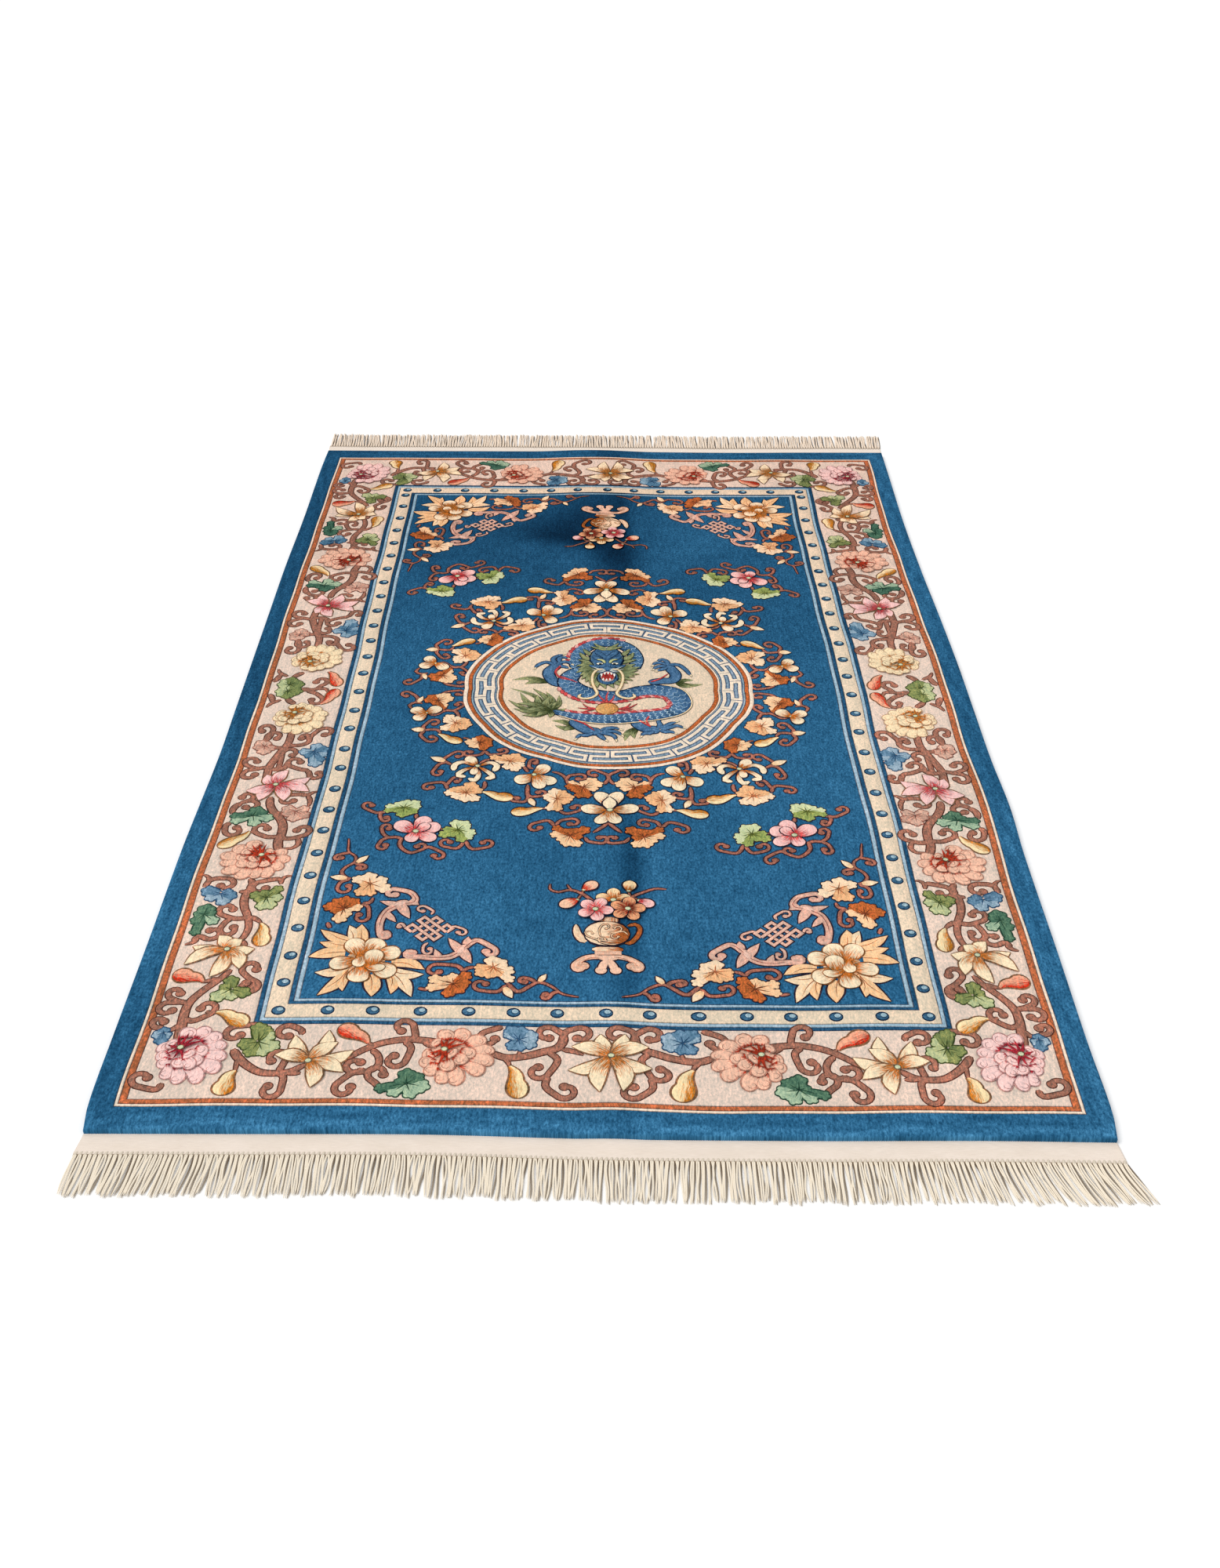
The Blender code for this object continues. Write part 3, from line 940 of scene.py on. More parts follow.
def frame_band(art, outer, inner, colour, first, last):
    """One band between two rectangles, mitred at its corners, its edges sunk into carved lines with
    painted shade along their bottoms.
    """
    width = min(outer[0] - inner[0], outer[1] - inner[1])
    groove = min(GROOVE, width / 3) / width
    between = [0.5] if width < WIDE_BAND else np.linspace(0.06, 0.94, 11)
    stops = [0.0, groove, *between, 1 - groove, 1.0]
    depth = np.full(len(stops), 0.0)
    depth[-1] = 0.0 if last else -GROOVE_DEPTH
    if first:
        stops = [inset / width for inset, _ in ROUNDED_EDGE] + [0.3, 0.55, 0.8, 1 - groove, 1.0]
        depth = np.array([fall for _, fall in ROUNDED_EDGE] + [0, 0, 0, 0, -GROOVE_DEPTH])
    else:
        depth[0] = -GROOVE_DEPTH
    stops = np.array(stops)
    a = outer[0] + (inner[0] - outer[0]) * stops
    b = outer[1] + (inner[1] - outer[1]) * stops
    # Points at the bottom of each carved line take painted shade
    dark = (depth <= -GROOVE_DEPTH + 0.01) & (stops > 0.5) | (depth == -GROOVE_DEPTH)
    ground, groove_shade_colour = linear(colour), linear("groove")
    colours = np.where(dark[:, None], groove_shade_colour, ground)
    for sign in (-1, 1):
        along = np.stack(
            [sign * np.broadcast_to(a, (len(SIDE_STEPS), len(a))), SIDE_STEPS[:, None] * b], -1,
        )
        across = np.stack(
            [END_STEPS[:, None] * a, sign * np.broadcast_to(b, (len(END_STEPS), len(b)))], -1,
        )
        for flat in (along, across):
            shape = flat.shape[:2]
            tint = np.broadcast_to(colours, (*shape, 3))
            height = PILE + np.broadcast_to(depth, shape)
            art.patch_of(flat, height, tint, tint * 0.8, np.zeros(shape), plain_grain(flat))


def pile():
    """The knotted pile: bands, field and underside, as one closed body."""
    art = Art()
    outer = rectangle(0, 0)
    for number, band in enumerate(BANDS):
        inner = rectangle(band["side"], band["end"])
        frame_band(art, outer, inner, band["colour"], number == 0, False)
        outer = inner
    field = (outer[0] - FIELD_EDGE, outer[1] - FIELD_EDGE)
    frame_band(art, outer, field, "field", False, True)
    for half, height, colour in ((field, PILE, "field"), (rectangle(0, 0), 0.0, "back")):
        flat = np.stack(np.meshgrid(END_STEPS * half[0], SIDE_STEPS * half[1]), -1)
        heights = np.full(flat.shape[:2], height)
        tint = np.broadcast_to(linear(colour), (*flat.shape[:2], 3)).copy()
        if colour == "back":
            flat = flat[::-1]
            tint = tint[::-1]
        art.patch_of(flat, heights, tint, tint * 0.8, np.zeros(flat.shape[:2]), plain_grain(flat))
    return art


# Colours of the figures: a light tone and the deep one that it runs into
VINE = ((168, 116, 97), (142, 92, 76))
LILY_CREAM = ((248, 226, 190), (180, 106, 46))
LILY_PINK = ((246, 200, 196), (178, 62, 66))
# Dark colour for the painted shade of the carved groove round the peonies
PEONY_GROOVE_SHADE = (96, 66, 58)
# A peony's outline, painted shade of its carved groove, mixes its own light tone, its deep tone and that
# dark colour
PEONY_MIX = (0.52, 0.12, 0.36)
# Painted shade of the carved groove round the other border flowers and buds
FLOWER_GROOVE_SHADE = (128, 92, 66)
PEONY_PINK = ((246, 206, 200), (150, 40, 52))
PEONY_PEACH = ((240, 190, 164), (162, 52, 32))
PEONY_GOLD = ((247, 222, 182), (180, 108, 44))
BUD_GOLD = ((248, 224, 176), (192, 118, 38))
BUD_RED = ((244, 172, 140), (192, 50, 28))
# Leaves have a third colour for their veins
LEAF_GREEN = ((188, 196, 148), (136, 146, 90), (66, 78, 42))
LEAF_DARK = ((166, 190, 160), (88, 124, 100), (42, 72, 56))
LEAF_BLUE = ((150, 174, 190), (104, 140, 166), (44, 78, 110))
LEAF_TAN = ((214, 172, 152), (206, 160, 140), (140, 88, 76))

# How much wider the border's stems are than charted, their curls' size, and the widths of their dark
# outlines of painted groove shade
VINE_WIDEN = 1.3
CURL_HALF = 5.4
CURL_RADIUS = 16.0
STEM_LINE = 1.4
CURL_LINE = 1.3
# Border vines: the line, and the half width at its start and its end
BORDER_STEMS = table(
    "points start end",
    (
        (
            (-655, -1037), (-657, -1013), (-660, -973), (-656, -948), (-640, -922), (-618, -895),
            (-604, -873),
        ),
        6.5, 4.0,
    ),
    (((-661, -1000), (-670, -1011), (-680, -1013)), 4.0, 3.0),
    (((-626, -972), (-618, -975), (-606, -975)), 3.6, 2.0),
    (((-648, -903), (-634, -899), (-622, -893)), 2.4, 4.0),
    (
        (
            (-566, -1056), (-553, -1075), (-534, -1093), (-514, -1105), (-490, -1107), (-468, -1103),
            (-448, -1088),
        ),
        5.5, 4.2,
    ),
    (((-554, -1078), (-552, -1104)), 2.8, 2.2),
    (((-474, -1106), (-452, -1107)), 4.5, 3.0),
    (
        (
            (-618, -813), (-604, -800), (-598, -783), (-597, -763), (-603, -738), (-613, -714),
            (-617, -690), (-613, -662),
        ),
        3.6, 6.0,
    ),
    (((-614, -668), (-610, -650), (-618, -636)), 6.0, 4.5),
    (((-601, -802), (-592, -816)), 4.5, 3.5),
    (((-600, -738), (-585, -747), (-576, -757)), 5.0, 2.0),
    (((-617, -672), (-630, -672)), 4.0, 2.5),
    (
        (
            (-584, -554), (-590, -527), (-588, -507), (-590, -480), (-600, -457), (-616, -436),
            (-627, -412), (-630, -389),
        ),
        6.5, 5.5,
    ),
    (((-606, -440), (-597, -439)), 3.5, 1.5),
    (((-630, -502), (-638, -500), (-649, -500)), 3.0, 2.0),
    (((-557, -516), (-552, -535), (-562, -548), (-577, -547)), 4.2, 2.0),
    (((-694, -660), (-689, -641), (-694, -630), (-703, -625)), 5.0, 1.6),
    (((-560, -651), (-562, -640), (-556, -630), (-546, -628)), 4.2, 1.6),
    (((-695, -811), (-683, -806), (-677, -795)), 1.8, 4.5),
    (((-693, -445), (-692, -424), (-680, -408)), 4.5, 5.5),
    (((-546, -372), (-556, -378), (-562, -386)), 1.6, 4.5),
    (((-562, -384), (-554, -400), (-553, -420)), 4.0, 2.6),
    (
        (
            (-650, -342), (-652, -313), (-653, -290), (-646, -262), (-637, -232), (-629, -210),
            (-627, -190), (-628, -165),
        ),
        6.0, 5.5,
    ),
    (((-650, -297), (-633, -298), (-620, -290), (-621, -274)), 5.0, 4.4),
    (((-697, 76), (-690, 60), (-672, 46)), 2.4, 4.0),
    (((-700, 24), (-692, 38), (-688, 56)), 5.5, 4.0),
    (((-662, 38), (-652, 52), (-640, 62)), 4.5, 5.5),
    (
        (
            (-407, -1081), (-388, -1075), (-362, -1055), (-335, -1040), (-300, -1032), (-272, -1034),
            (-250, -1037),
        ),
        4.0, 5.0,
    ),
    (((-274, -1036), (-262, -1045), (-252, -1052)), 4.5, 3.0),
    (((-350, -1049), (-358, -1041)), 3.0, 2.0),
    (
        (
            (-168, -1059), (-144, -1069), (-113, -1064), (-89, -1055), (-66, -1046), (-56, -1031),
            (-56, -1015),
        ),
        5.0, 5.6,
    ),
    (((-148, -1070), (-141, -1078), (-137, -1088)), 3.0, 2.2),
    (((-124, -1064), (-124, -1054)), 2.4, 2.0),
    (((-362, -1096), (-362, -1106)), 4.4, 4.4),
    (((24, -1060), (40, -1052), (58, -1048)), 2.0, 4.4),
)

# Border scrolls: the line up to the curl, the ball that it winds round, and which way
BORDER_SCROLLS = table(
    "points ball turn",
    (((-661, -952), (-675, -948), (-690, -940)), (-676, -929), -1),
    (((-664, -949), (-684, -950)), (-681, -969), 1),
    (((-684, -1009), (-697, -1007)), (-688, -994), -1),
    (((-657, -988), (-642, -993)), (-636, -965), 1),
    (((-570, -929), (-556, -920), (-555, -905), (-570, -894)), (-563, -872), -1),
    (((-556, -905), (-562, -912)), (-574, -905), -1),
    (((-536, -1003), (-546, -1002)), (-561, -1025), 1),
    (((-487, -1104), (-484, -1094)), (-502, -1081), 1),
    (((-487, -1106), (-477, -1115)), (-497, -1134), -1),
    (((-657, -1127), (-664, -1140)), (-682, -1115), -1),
    (((-467, -1024), (-467, -1015)), (-486, -1027), 1),
    (((-605, -742), (-624, -744)), (-632, -719), -1),
    (((-630, -744), (-638, -752)), (-622, -767), 1),
    (((-683, -803), (-677, -790)), (-661, -775), 1),
    (((-690, -642), (-678, -636)), (-666, -656), -1),
    (((-563, -638), (-572, -637)), (-585, -662), 1),
    (((-591, -513), (-612, -514)), (-617, -489), -1),
    (((-588, -516), (-570, -519)), (-562, -494), 1),
    (((-689, -472), (-696, -481)), (-675, -487), 1),
    (((-682, -408), (-668, -401)), (-684, -391), 1),
    (((-684, -410), (-678, -404)), (-671, -423), -1),
    (((-563, -386), (-574, -381)), (-585, -402), 1),
    (((-653, -290), (-676, -296)), (-680, -272), -1),
    (((-668, -296), (-684, -299)), (-676, -317), 1),
    (((-634, -297), (-634, -276)), (-614, -250), -1),
    (((-574, -303), (-592, -298)), (-594, -274), -1),
    (((-576, -302), (-570, -316)), (-553, -312), 1),
    (((-631, -215), (-603, -214), (-588, -203), (-587, -185)), (-560, -178), -1),
    (((-589, -196), (-590, -192)), (-604, -190), 1),
    (((-638, -224), (-655, -221), (-672, -207)), (-654, -190), -1),
    (((-680, -200), (-670, -188)), (-688, -165), 1),
    (((-300, -1034), (-288, -1028)), (-311, -1014), 1),
    (((-304, -1036), (-292, -1050)), (-316, -1068), -1),
    (((-352, -1056), (-341, -1068), (-337, -1086), (-346, -1100)), (-365, -1084), -1),
    (((-350, -1104), (-372, -1106)), (-372, -1136), 1),
    (((-328, -1138), (-336, -1128)), (-327, -1109), -1),
    (((-152, -1003), (-162, -1006)), (-163, -1029), 1),
    (((-56, -1024), (-56, -1016)), (-78, -1024), 1),
    (((-56, -1024), (-52, -1010)), (-34, -1024), -1),
    (((-78, -1054), (-64, -1072)), (-93, -1087), -1),
    (((-78, -1106), (-80, -1128)), (-52, -1127), 1),
)

BORDER_LEAVES = table(
    "centre kind lobes",
    (
        (-596, -921), LEAF_GREEN,
        (
            (-622, -944, 13, 0), (-600, -891, 12, 1), (-613, -912, 9, 1), (-565, -931, 12, 1),
            (-590, -945, 9, 0),
        ),
    ),
    (
        (-682, -1020), LEAF_BLUE,
        ((-697, -1026, 9, 0), (-673, -1030, 9, 0), (-682, -1043, 10, 1), (-684, -1009, 9, 1)),
    ),
    (
        (-530, -1040), LEAF_GREEN,
        (
            (-498, -1052, 12, 0), (-516, -1068, 12, 0), (-512, -1020, 12, 0), (-537, -1000, 12, 1),
            (-558, -1047, 12, 1), (-540, -1070, 11, 1), (-520, -1008, 9, 1),
        ),
    ),
    (
        (-679, -733), LEAF_DARK,
        (
            (-655, -756, 11, 0), (-668, -745, 10, 0), (-677, -709, 15, 1), (-695, -730, 12, 1),
            (-662, -727, 11, 1), (-686, -786, 9, 1), (-694, -756, 10, 1),
        ),
    ),
    (
        (-579, -688), LEAF_GREEN,
        (
            (-585, -719, 11, 0), (-567, -716, 12, 0), (-553, -688, 10, 0), (-607, -679, 10, 1),
            (-588, -670, 9, 1), (-559, -659, 9, 1), (-598, -694, 9, 1),
        ),
    ),
    (
        (-661, -678), LEAF_BLUE,
        (
            (-694, -668, 13, 1), (-684, -692, 11, 0), (-650, -707, 12, 0), (-634, -686, 11, 1),
            (-643, -671, 8, 1),
        ),
    ),
    (
        (-652, -450), LEAF_DARK,
        (
            (-642, -481, 12, 0), (-614, -459, 12, 0), (-688, -470, 11, 0), (-645, -424, 14, 1),
            (-692, -452, 10, 1), (-668, -440, 9, 1), (-628, -438, 9, 1),
        ),
    ),
    (
        (-575, -436), LEAF_TAN,
        (
            (-598, -425, 12, 0), (-596, -445, 11, 1), (-574, -466, 12, 0), (-550, -454, 11, 1),
            (-553, -425, 10, 0),
        ),
    ),
    (
        (-573, -237), LEAF_BLUE,
        (
            (-566, -212, 13, 0), (-547, -228, 12, 1), (-600, -238, 11, 0), (-548, -253, 10, 0),
            (-584, -258, 10, 1), (-563, -289, 13, 0), (-553, -272, 9, 1),
        ),
    ),
    (
        (-674, -219), LEAF_TAN,
        (
            (-690, -202, 11, 0), (-694, -224, 11, 1), (-672, -246, 13, 0), (-655, -230, 11, 1),
            (-668, -203, 8, 0),
        ),
    ),
    (
        (-663, 12), LEAF_GREEN,
        (
            (-687, 14, 12, 0), (-674, -10, 10, 0), (-682, 30, 8, 0), (-661, 40, 12, 1), (-634, 14, 13, 1),
            (-643, -2, 10, 1), (-646, 28, 9, 1),
        ),
    ),
    (
        (-290, -1127), LEAF_DARK,
        (
            (-256, -1134, 13, 0), (-277, -1154, 12, 0), (-313, -1150, 11, 0), (-292, -1098, 13, 1),
            (-267, -1109, 10, 1), (-334, -1140, 9, 1), (-306, -1122, 10, 1),
        ),
    ),
    (
        (-126, -1030), LEAF_BLUE,
        (
            (-143, -1003, 11, 1), (-122, -1003, 12, 1), (-98, -1017, 12, 0), (-100, -1041, 11, 0),
            (-140, -1050, 10, 1), (-122, -1052, 9, 1), (-148, -1016, 8, 0),
        ),
    ),
)

BORDER_BUDS = table(
    "thin fat half kind side",
    ((-644, -901), (-697, -884), 17, BUD_RED, -1),
    ((-609, -974), (-557, -1003), 16, BUD_GOLD, 1),
    ((-552, -1102), (-564, -1153), 17, BUD_GOLD, -1),
    ((-359, -1042), (-409, -1009), 16, BUD_RED, -1),
    ((-577, -756), (-570, -815), 15, BUD_GOLD, 1),
    ((-648, -499), (-696, -544), 14, BUD_GOLD, 1),
    ((-587, 64), (-561, 6), 14, BUD_RED, 1),
    ((-137, -1087), (-121, -1153), 17, BUD_GOLD, 1),
)

BORDER_LILIES = table(
    "eye half kind tips",
    (
        (-445, -1082), 11.5, LILY_CREAM,
        (
            (-475, -1026, 0.06), (-423, -1016, -0.08), (-406, -1042, 0.05), (-379, -1060, -0.08),
            (-388, -1106, 0.06), (-432, -1138, 0.08), (-498, -1069, -0.06),
        ),
    ),
    (
        (-621, -825), 11.5, LILY_CREAM,
        (
            (-680, -816, 0.06), (-642, -790, -0.06), (-601, -800, 0.05), (-576, -823, -0.06),
            (-591, -872, 0.08), (-636, -892, 0.06), (-684, -862, -0.08),
        ),
    ),
    (
        (-628, -351), 12.5, LILY_PINK,
        (
            (-652, -318, 0.05), (-613, -303, 0.08), (-566, -328, -0.08), (-561, -373, 0.06),
            (-602, -403, 0.06), (-650, -403, -0.06), (-680, -373, 0.06),
        ),
    ),
)

CENTRE_LILY = ((18, -1064), 12, LILY_CREAM, (
    (2, -1017, 0.06), (-42, -1042, -0.06), (-47, -1093, 0.08), (1, -1139, -0.08),
    (40, -1017, -0.06), (76, -1042, 0.06), (80, -1088, -0.08), (36, -1138, 0.08),
))

BORDER_PEONIES = table(
    "eye kind lobes stamens",
    (
        (-646, -1055), PEONY_PINK,
        (
            (-682, -1047, 13, 0.1), (-680, -1072, 12, 0.1), (-672, -1093, 12, 0.1),
            (-660, -1118, 12, 0.15),
            (-637, -1130, 12, 0.1), (-606, -1130, 13, 0.15), (-580, -1108, 14, 0.15),
            (-573, -1078, 12, 0.1),
            (-577, -1052, 12, 0.1), (-588, -1030, 13, 0.1), (-609, -1014, 13, 0.1),
            (-638, -1012, 14, 0.1),
            (-668, -1043, 11, 0.0), (-602, -1062, 13, -0.1), (-606, -1088, 12, -0.1),
            (-640, -1098, 13, 0.1),
            (-621, -1102, 10, 0.15), (-625, -1075, 12, 0.0),
        ),
        (
            (-655, -1027), (-640, -1024), (-622, -1030), (-608, -1040), (-668, -1049), (-664, -1068),
            (-652, -1080), (-636, -1084),
        ),
    ),
    (
        (-610, -572), PEONY_PEACH,
        (
            (-592, -556, 11, 0.1), (-567, -560, 12, 0.1), (-560, -586, 12, 0.1), (-570, -612, 12, 0.1),
            (-592, -634, 13, 0.15), (-614, -636, 11, 0.1), (-644, -636, 13, 0.15), (-672, -619, 13, 0.15),
            (-680, -594, 11, 0.1), (-684, -570, 13, 0.1), (-664, -546, 14, 0.1), (-634, -529, 15, 0.1),
            (-654, -580, 13, 0.0), (-650, -601, 12, 0.1), (-628, -606, 12, 0.1), (-600, -606, 12, 0.1),
            (-648, -562, 12, 0.0), (-628, -588, 11, 0.0),
        ),
        (
            (-634, -542), (-620, -538), (-607, -540), (-652, -571), (-640, -556), (-582, -568),
            (-588, -590), (-586, -600), (-609, -606),
        ),
    ),
    (
        (-633, -101), PEONY_GOLD,
        (
            (-671, -96, 13, 0.1), (-675, -118, 12, 0.1), (-664, -142, 12, 0.1), (-644, -170, 13, 0.15),
            (-620, -176, 13, 0.15), (-596, -170, 12, 0.15), (-575, -156, 13, 0.15), (-570, -128, 12, 0.1),
            (-566, -108, 12, 0.1), (-580, -88, 12, 0.1), (-598, -76, 12, 0.1), (-616, -66, 12, 0.1),
            (-640, -70, 12, 0.0), (-660, -128, 12, 0.0), (-632, -142, 13, 0.1), (-602, -134, 13, 0.1),
            (-596, -112, 12, 0.0), (-618, -122, 11, 0.0),
        ),
        (
            (-634, -74), (-618, -78), (-648, -82), (-660, -100), (-656, -116), (-645, -130), (-634, -128),
            (-612, -98),
        ),
    ),
    (
        (-239, -1056), PEONY_PEACH,
        (
            (-272, -1066, 13, 0.1), (-274, -1086, 12, 0.1), (-262, -1108, 12, 0.1),
            (-240, -1126, 13, 0.15),
            (-216, -1130, 13, 0.15), (-182, -1110, 14, 0.2), (-165, -1086, 13, 0.15),
            (-163, -1058, 11, 0.1),
            (-176, -1034, 13, 0.1), (-204, -1016, 14, 0.1), (-236, -1014, 14, 0.1),
            (-256, -1036, 11, 0.0),
            (-191, -1066, 12, 0.0), (-206, -1086, 12, 0.1), (-232, -1102, 12, 0.1),
            (-222, -1068, 12, 0.0),
        ),
        (
            (-246, -1032), (-233, -1030), (-220, -1034), (-206, -1044), (-262, -1065), (-255, -1076),
            (-246, -1092), (-232, -1086),
        ),
    ),
)

# Stems and scrolls at the middle of each side
HUB_STEMS = table(
    "points start end",
    (((-636, -6), (-618, -6)), 7.2, 7.2),
    (((-604, -4), (-584, -4), (-577, -20)), 6.3, 2.2),
)
SIDE_HUB = table(
    "points ball turn",
    (((-628, -6), (-606, -6), (-594, 10)), (-608, 23), 1),
    (((-622, -12), (-602, -22)), (-608, -46), -1),
)


def border_vine_art():
    """Stems and curls of the border."""
    art = Art()
    art.copies = QUARTERS
    # The vines' dark outline is painted shade of their carved groove
    art.ink = "vine ink"

    def quarter():
        all_stems(art, BORDER_STEMS, VINE_WIDEN, VINE, ink_line=STEM_LINE)
        all_scrolls(art, BORDER_SCROLLS, CURL_HALF, CURL_RADIUS, VINE, line=CURL_LINE)

    def hub():
        all_stems(art, HUB_STEMS, 1, VINE, ink_line=STEM_LINE)
        all_scrolls(art, SIDE_HUB, CURL_HALF, CURL_RADIUS, VINE, line=CURL_LINE)

    joined(art, quarter)
    art.copies = SIDES
    joined(art, hub)
    return art


def border_flower_art():
    """Leaves, buds and flowers of the border."""
    art = Art()
    art.copies = QUARTERS
    art.level = 2.2
    for row in BORDER_LEAVES:
        # Each leaf's outline, painted shade of its carved groove, takes its vein colour
        art.ink = row["kind"][2]
        leaf(art, row["centre"], row["lobes"], row["kind"])
    art.ink = FLOWER_GROOVE_SHADE
    for row in BORDER_BUDS:
        bud(art, row["thin"], row["fat"], row["half"], row["kind"], row["side"])
    for row in BORDER_LILIES:
        lily(art, row["eye"], row["tips"], row["half"], row["kind"])
    for row in BORDER_PEONIES:
        # Each peony's outline of painted groove shade
        art.ink = [
            sum(s * c for s, c in zip(PEONY_MIX, tones)) for tones in zip(*row["kind"], PEONY_GROOVE_SHADE)
        ]
        peony(art, row["eye"], row["lobes"], row["stamens"], row["kind"])
    art.copies = ENDS_ONLY
    art.ink = FLOWER_GROOVE_SHADE
    centre, half, kind, tips = CENTRE_LILY
    lily(art, centre, tips, half, kind)
    return art


END_DOTS = (-512, -433, -361, -285, -208, -137, -67, 10, 79, 149, 222, 292, 363, 436, 512)
SIDE_DOTS = (-970, -903, -838, -768, -696, -627, -562, -495, -431, -364, -295, -228, -155, -87, -14)
SIDE_DOTS += (59, 129, 197, 264, 332, 400, 468, 535, 603, 670, 738, 806, 873, 938)
DOT_LINE = {"x": 514.0, "y": 969.0}
DOT_RADIUS = 9.5


def bead_art():
    """Dark blue dots with a light spot, along the beaded band."""
    art = Art()
    places = [(x, side * DOT_LINE["y"]) for side in (-1, 1) for x in END_DOTS]
    places += [(side * DOT_LINE["x"], y) for side in (-1, 1) for y in SIDE_DOTS if abs(y) < 950]
    for x, y in places:
        art.level = 1.0
        oval(art, (x, y), DOT_RADIUS, ((66, 108, 138), (40, 76, 106)), shade=0.35, squash=0.92)
        art.level = 2.2
        spot = (x + 2.4, y + 2.4)
        oval(art, spot, DOT_RADIUS * 0.56, ((158, 186, 198), (120, 156, 178)), shade=0.15, ink_line=0.9)
    return art


# The medallion's outline as knotted: how far it stands out, by degrees clockwise from the top
RING_WOBBLE = table(
    "angle out",
    (0, 0.0), (15, 1.0), (30, 2.8), (45, 1.3), (55, 4.9), (70, 4.3), (78, 2.5), (90, -4.5), (100, 0.0),
    (108, -1.3), (118, -7.6), (128, -5.0), (140, 1.2), (150, 3.6), (165, 2.5), (180, 1.7), (190, 0.0),
    (205, -7.0), (215, -3.0), (228, -2.0), (240, -4.5), (250, -1.3), (260, 0.0), (270, -4.0), (280, 3.8),
    (290, 4.8), (300, 2.5), (315, 1.8), (330, 0.0), (345, 5.6), (360, 0.0),
)
# Where each unit of the fret starts, in degrees clockwise from the top
FRET_STARTS = (8.75, 30.5, 49.25, 66.5, 82.75, 99.5, 116, 135, 152.75, 171, 189.5, 208.5, 227.75, 247.25)
FRET_STARTS += (263.5, 279, 296, 313, 332.75, 352.5, 368.75, 390.5)
FRET_UNIT = table(
    "along radius",
    (0.0, 277.5), (0.875, 277.5), (0.875, 260.5), (0.5, 260.5), (0.5, 243.5), (1.38, 243.5),
    (1.38, 260.5), (1.0, 260.5),
)
# Medallion rings from the outside in: radius, height and colour; the low dark rings are painted shade of
# its carved lines
RINGS = table(
    "radius height colour",
    (306.8, -0.5, "ink"), (305.0, 0.1, "ink"), (304.6, 0.45, "cream"), (300.0, 0.55, "cream"),
    (297.0, 0.45, "cream"),
    (296.6, 0.1, "vine ink"), (295.8, 0.1, "vine ink"), (295.4, 0.45, "rust"), (292.0, 0.55, "rust"),
    (288.8, 0.45, "rust"), (288.4, 0.1, "groove"), (287.4, 0.1, "groove"), (287.0, 0.45, "ice"),
    (284.6, 0.45, "ice"),
    (284.2, 0.25, "slate"), (283.6, 0.25, "slate"), (283.2, 0.35, "mist"), (238.4, 0.35, "mist"),
    (238.0, 0.25, "slate"), (237.4, 0.25, "slate"), (237.0, 0.45, "ice"), (235.8, 0.45, "ice"),
    (235.4, 0.1, "groove"), (234.6, 0.1, "groove"), (234.2, 0.5, "cream"), (231.4, 0.5, "cream"),
    (231.0, 0.1, "vine ink"), (230.4, 0.1, "vine ink"), (230.0, 0.45, "rust"), (226.0, 0.55, "rust"),
    (222.8, 0.45, "rust"), (222.4, 0.1, "groove"), (221.6, 0.1, "groove"), (221.2, 0.4, "ivory"),
)


def on_ring(radius, angle):
    """A place in the medallion: radius, and degrees clockwise from the top."""
    out = np.interp(
        np.mod(angle, 360), [row["angle"] for row in RING_WOBBLE], [row["out"] for row in RING_WOBBLE],
    )
    radius = radius + out * np.clip(radius / 250, 0, 1)
    turn = np.radians(angle)
    return np.stack(
        [MEDALLION[0] + radius * np.sin(turn), MEDALLION[1] + radius * np.cos(turn) * MEDALLION_SQUASH],
        -1,
    )


def stroke(art, line, half, colours, ink_line=1.6, rise=0.3):
    """A flat line with square mitred corners, edged with a dark outline of painted groove shade."""
    ahead = np.diff(line, axis=0)
    ahead = ahead / np.maximum(np.hypot(*ahead.T)[:, None], 1e-6)
    before, after = np.concatenate([ahead[:1], ahead]), np.concatenate([ahead, ahead[-1:]])
    bisector = before + after
    bisector = bisector / np.maximum(np.hypot(*bisector.T)[:, None], 1e-6)
    stretch = 1 / np.maximum((bisector * after).sum(1), 0.5)
    normal = np.stack([-bisector[:, 1], bisector[:, 0]], -1) * stretch[:, None]
    ground = art.base + art.level * LEVEL
    for widths, heights, pair in (
        (np.array([-half, -half * 0.8, half * 0.8, half]), np.array([-SINK, rise, rise, -SINK]), colours),
        (
            np.array([-half - ink_line, -half, half, half + ink_line]),
            np.array([-GROOVE_SHADE_SINK, 0.04, 0.04, -GROOVE_SHADE_SINK]), (art.ink,) * 2,
        ),
    ):
        flat = line[:, None] + normal[:, None] * widths[None, :, None]
        height = np.broadcast_to(ground + heights, flat.shape[:2])
        art.patch(flat, height, *pair, 0.2, plain_grain(flat))


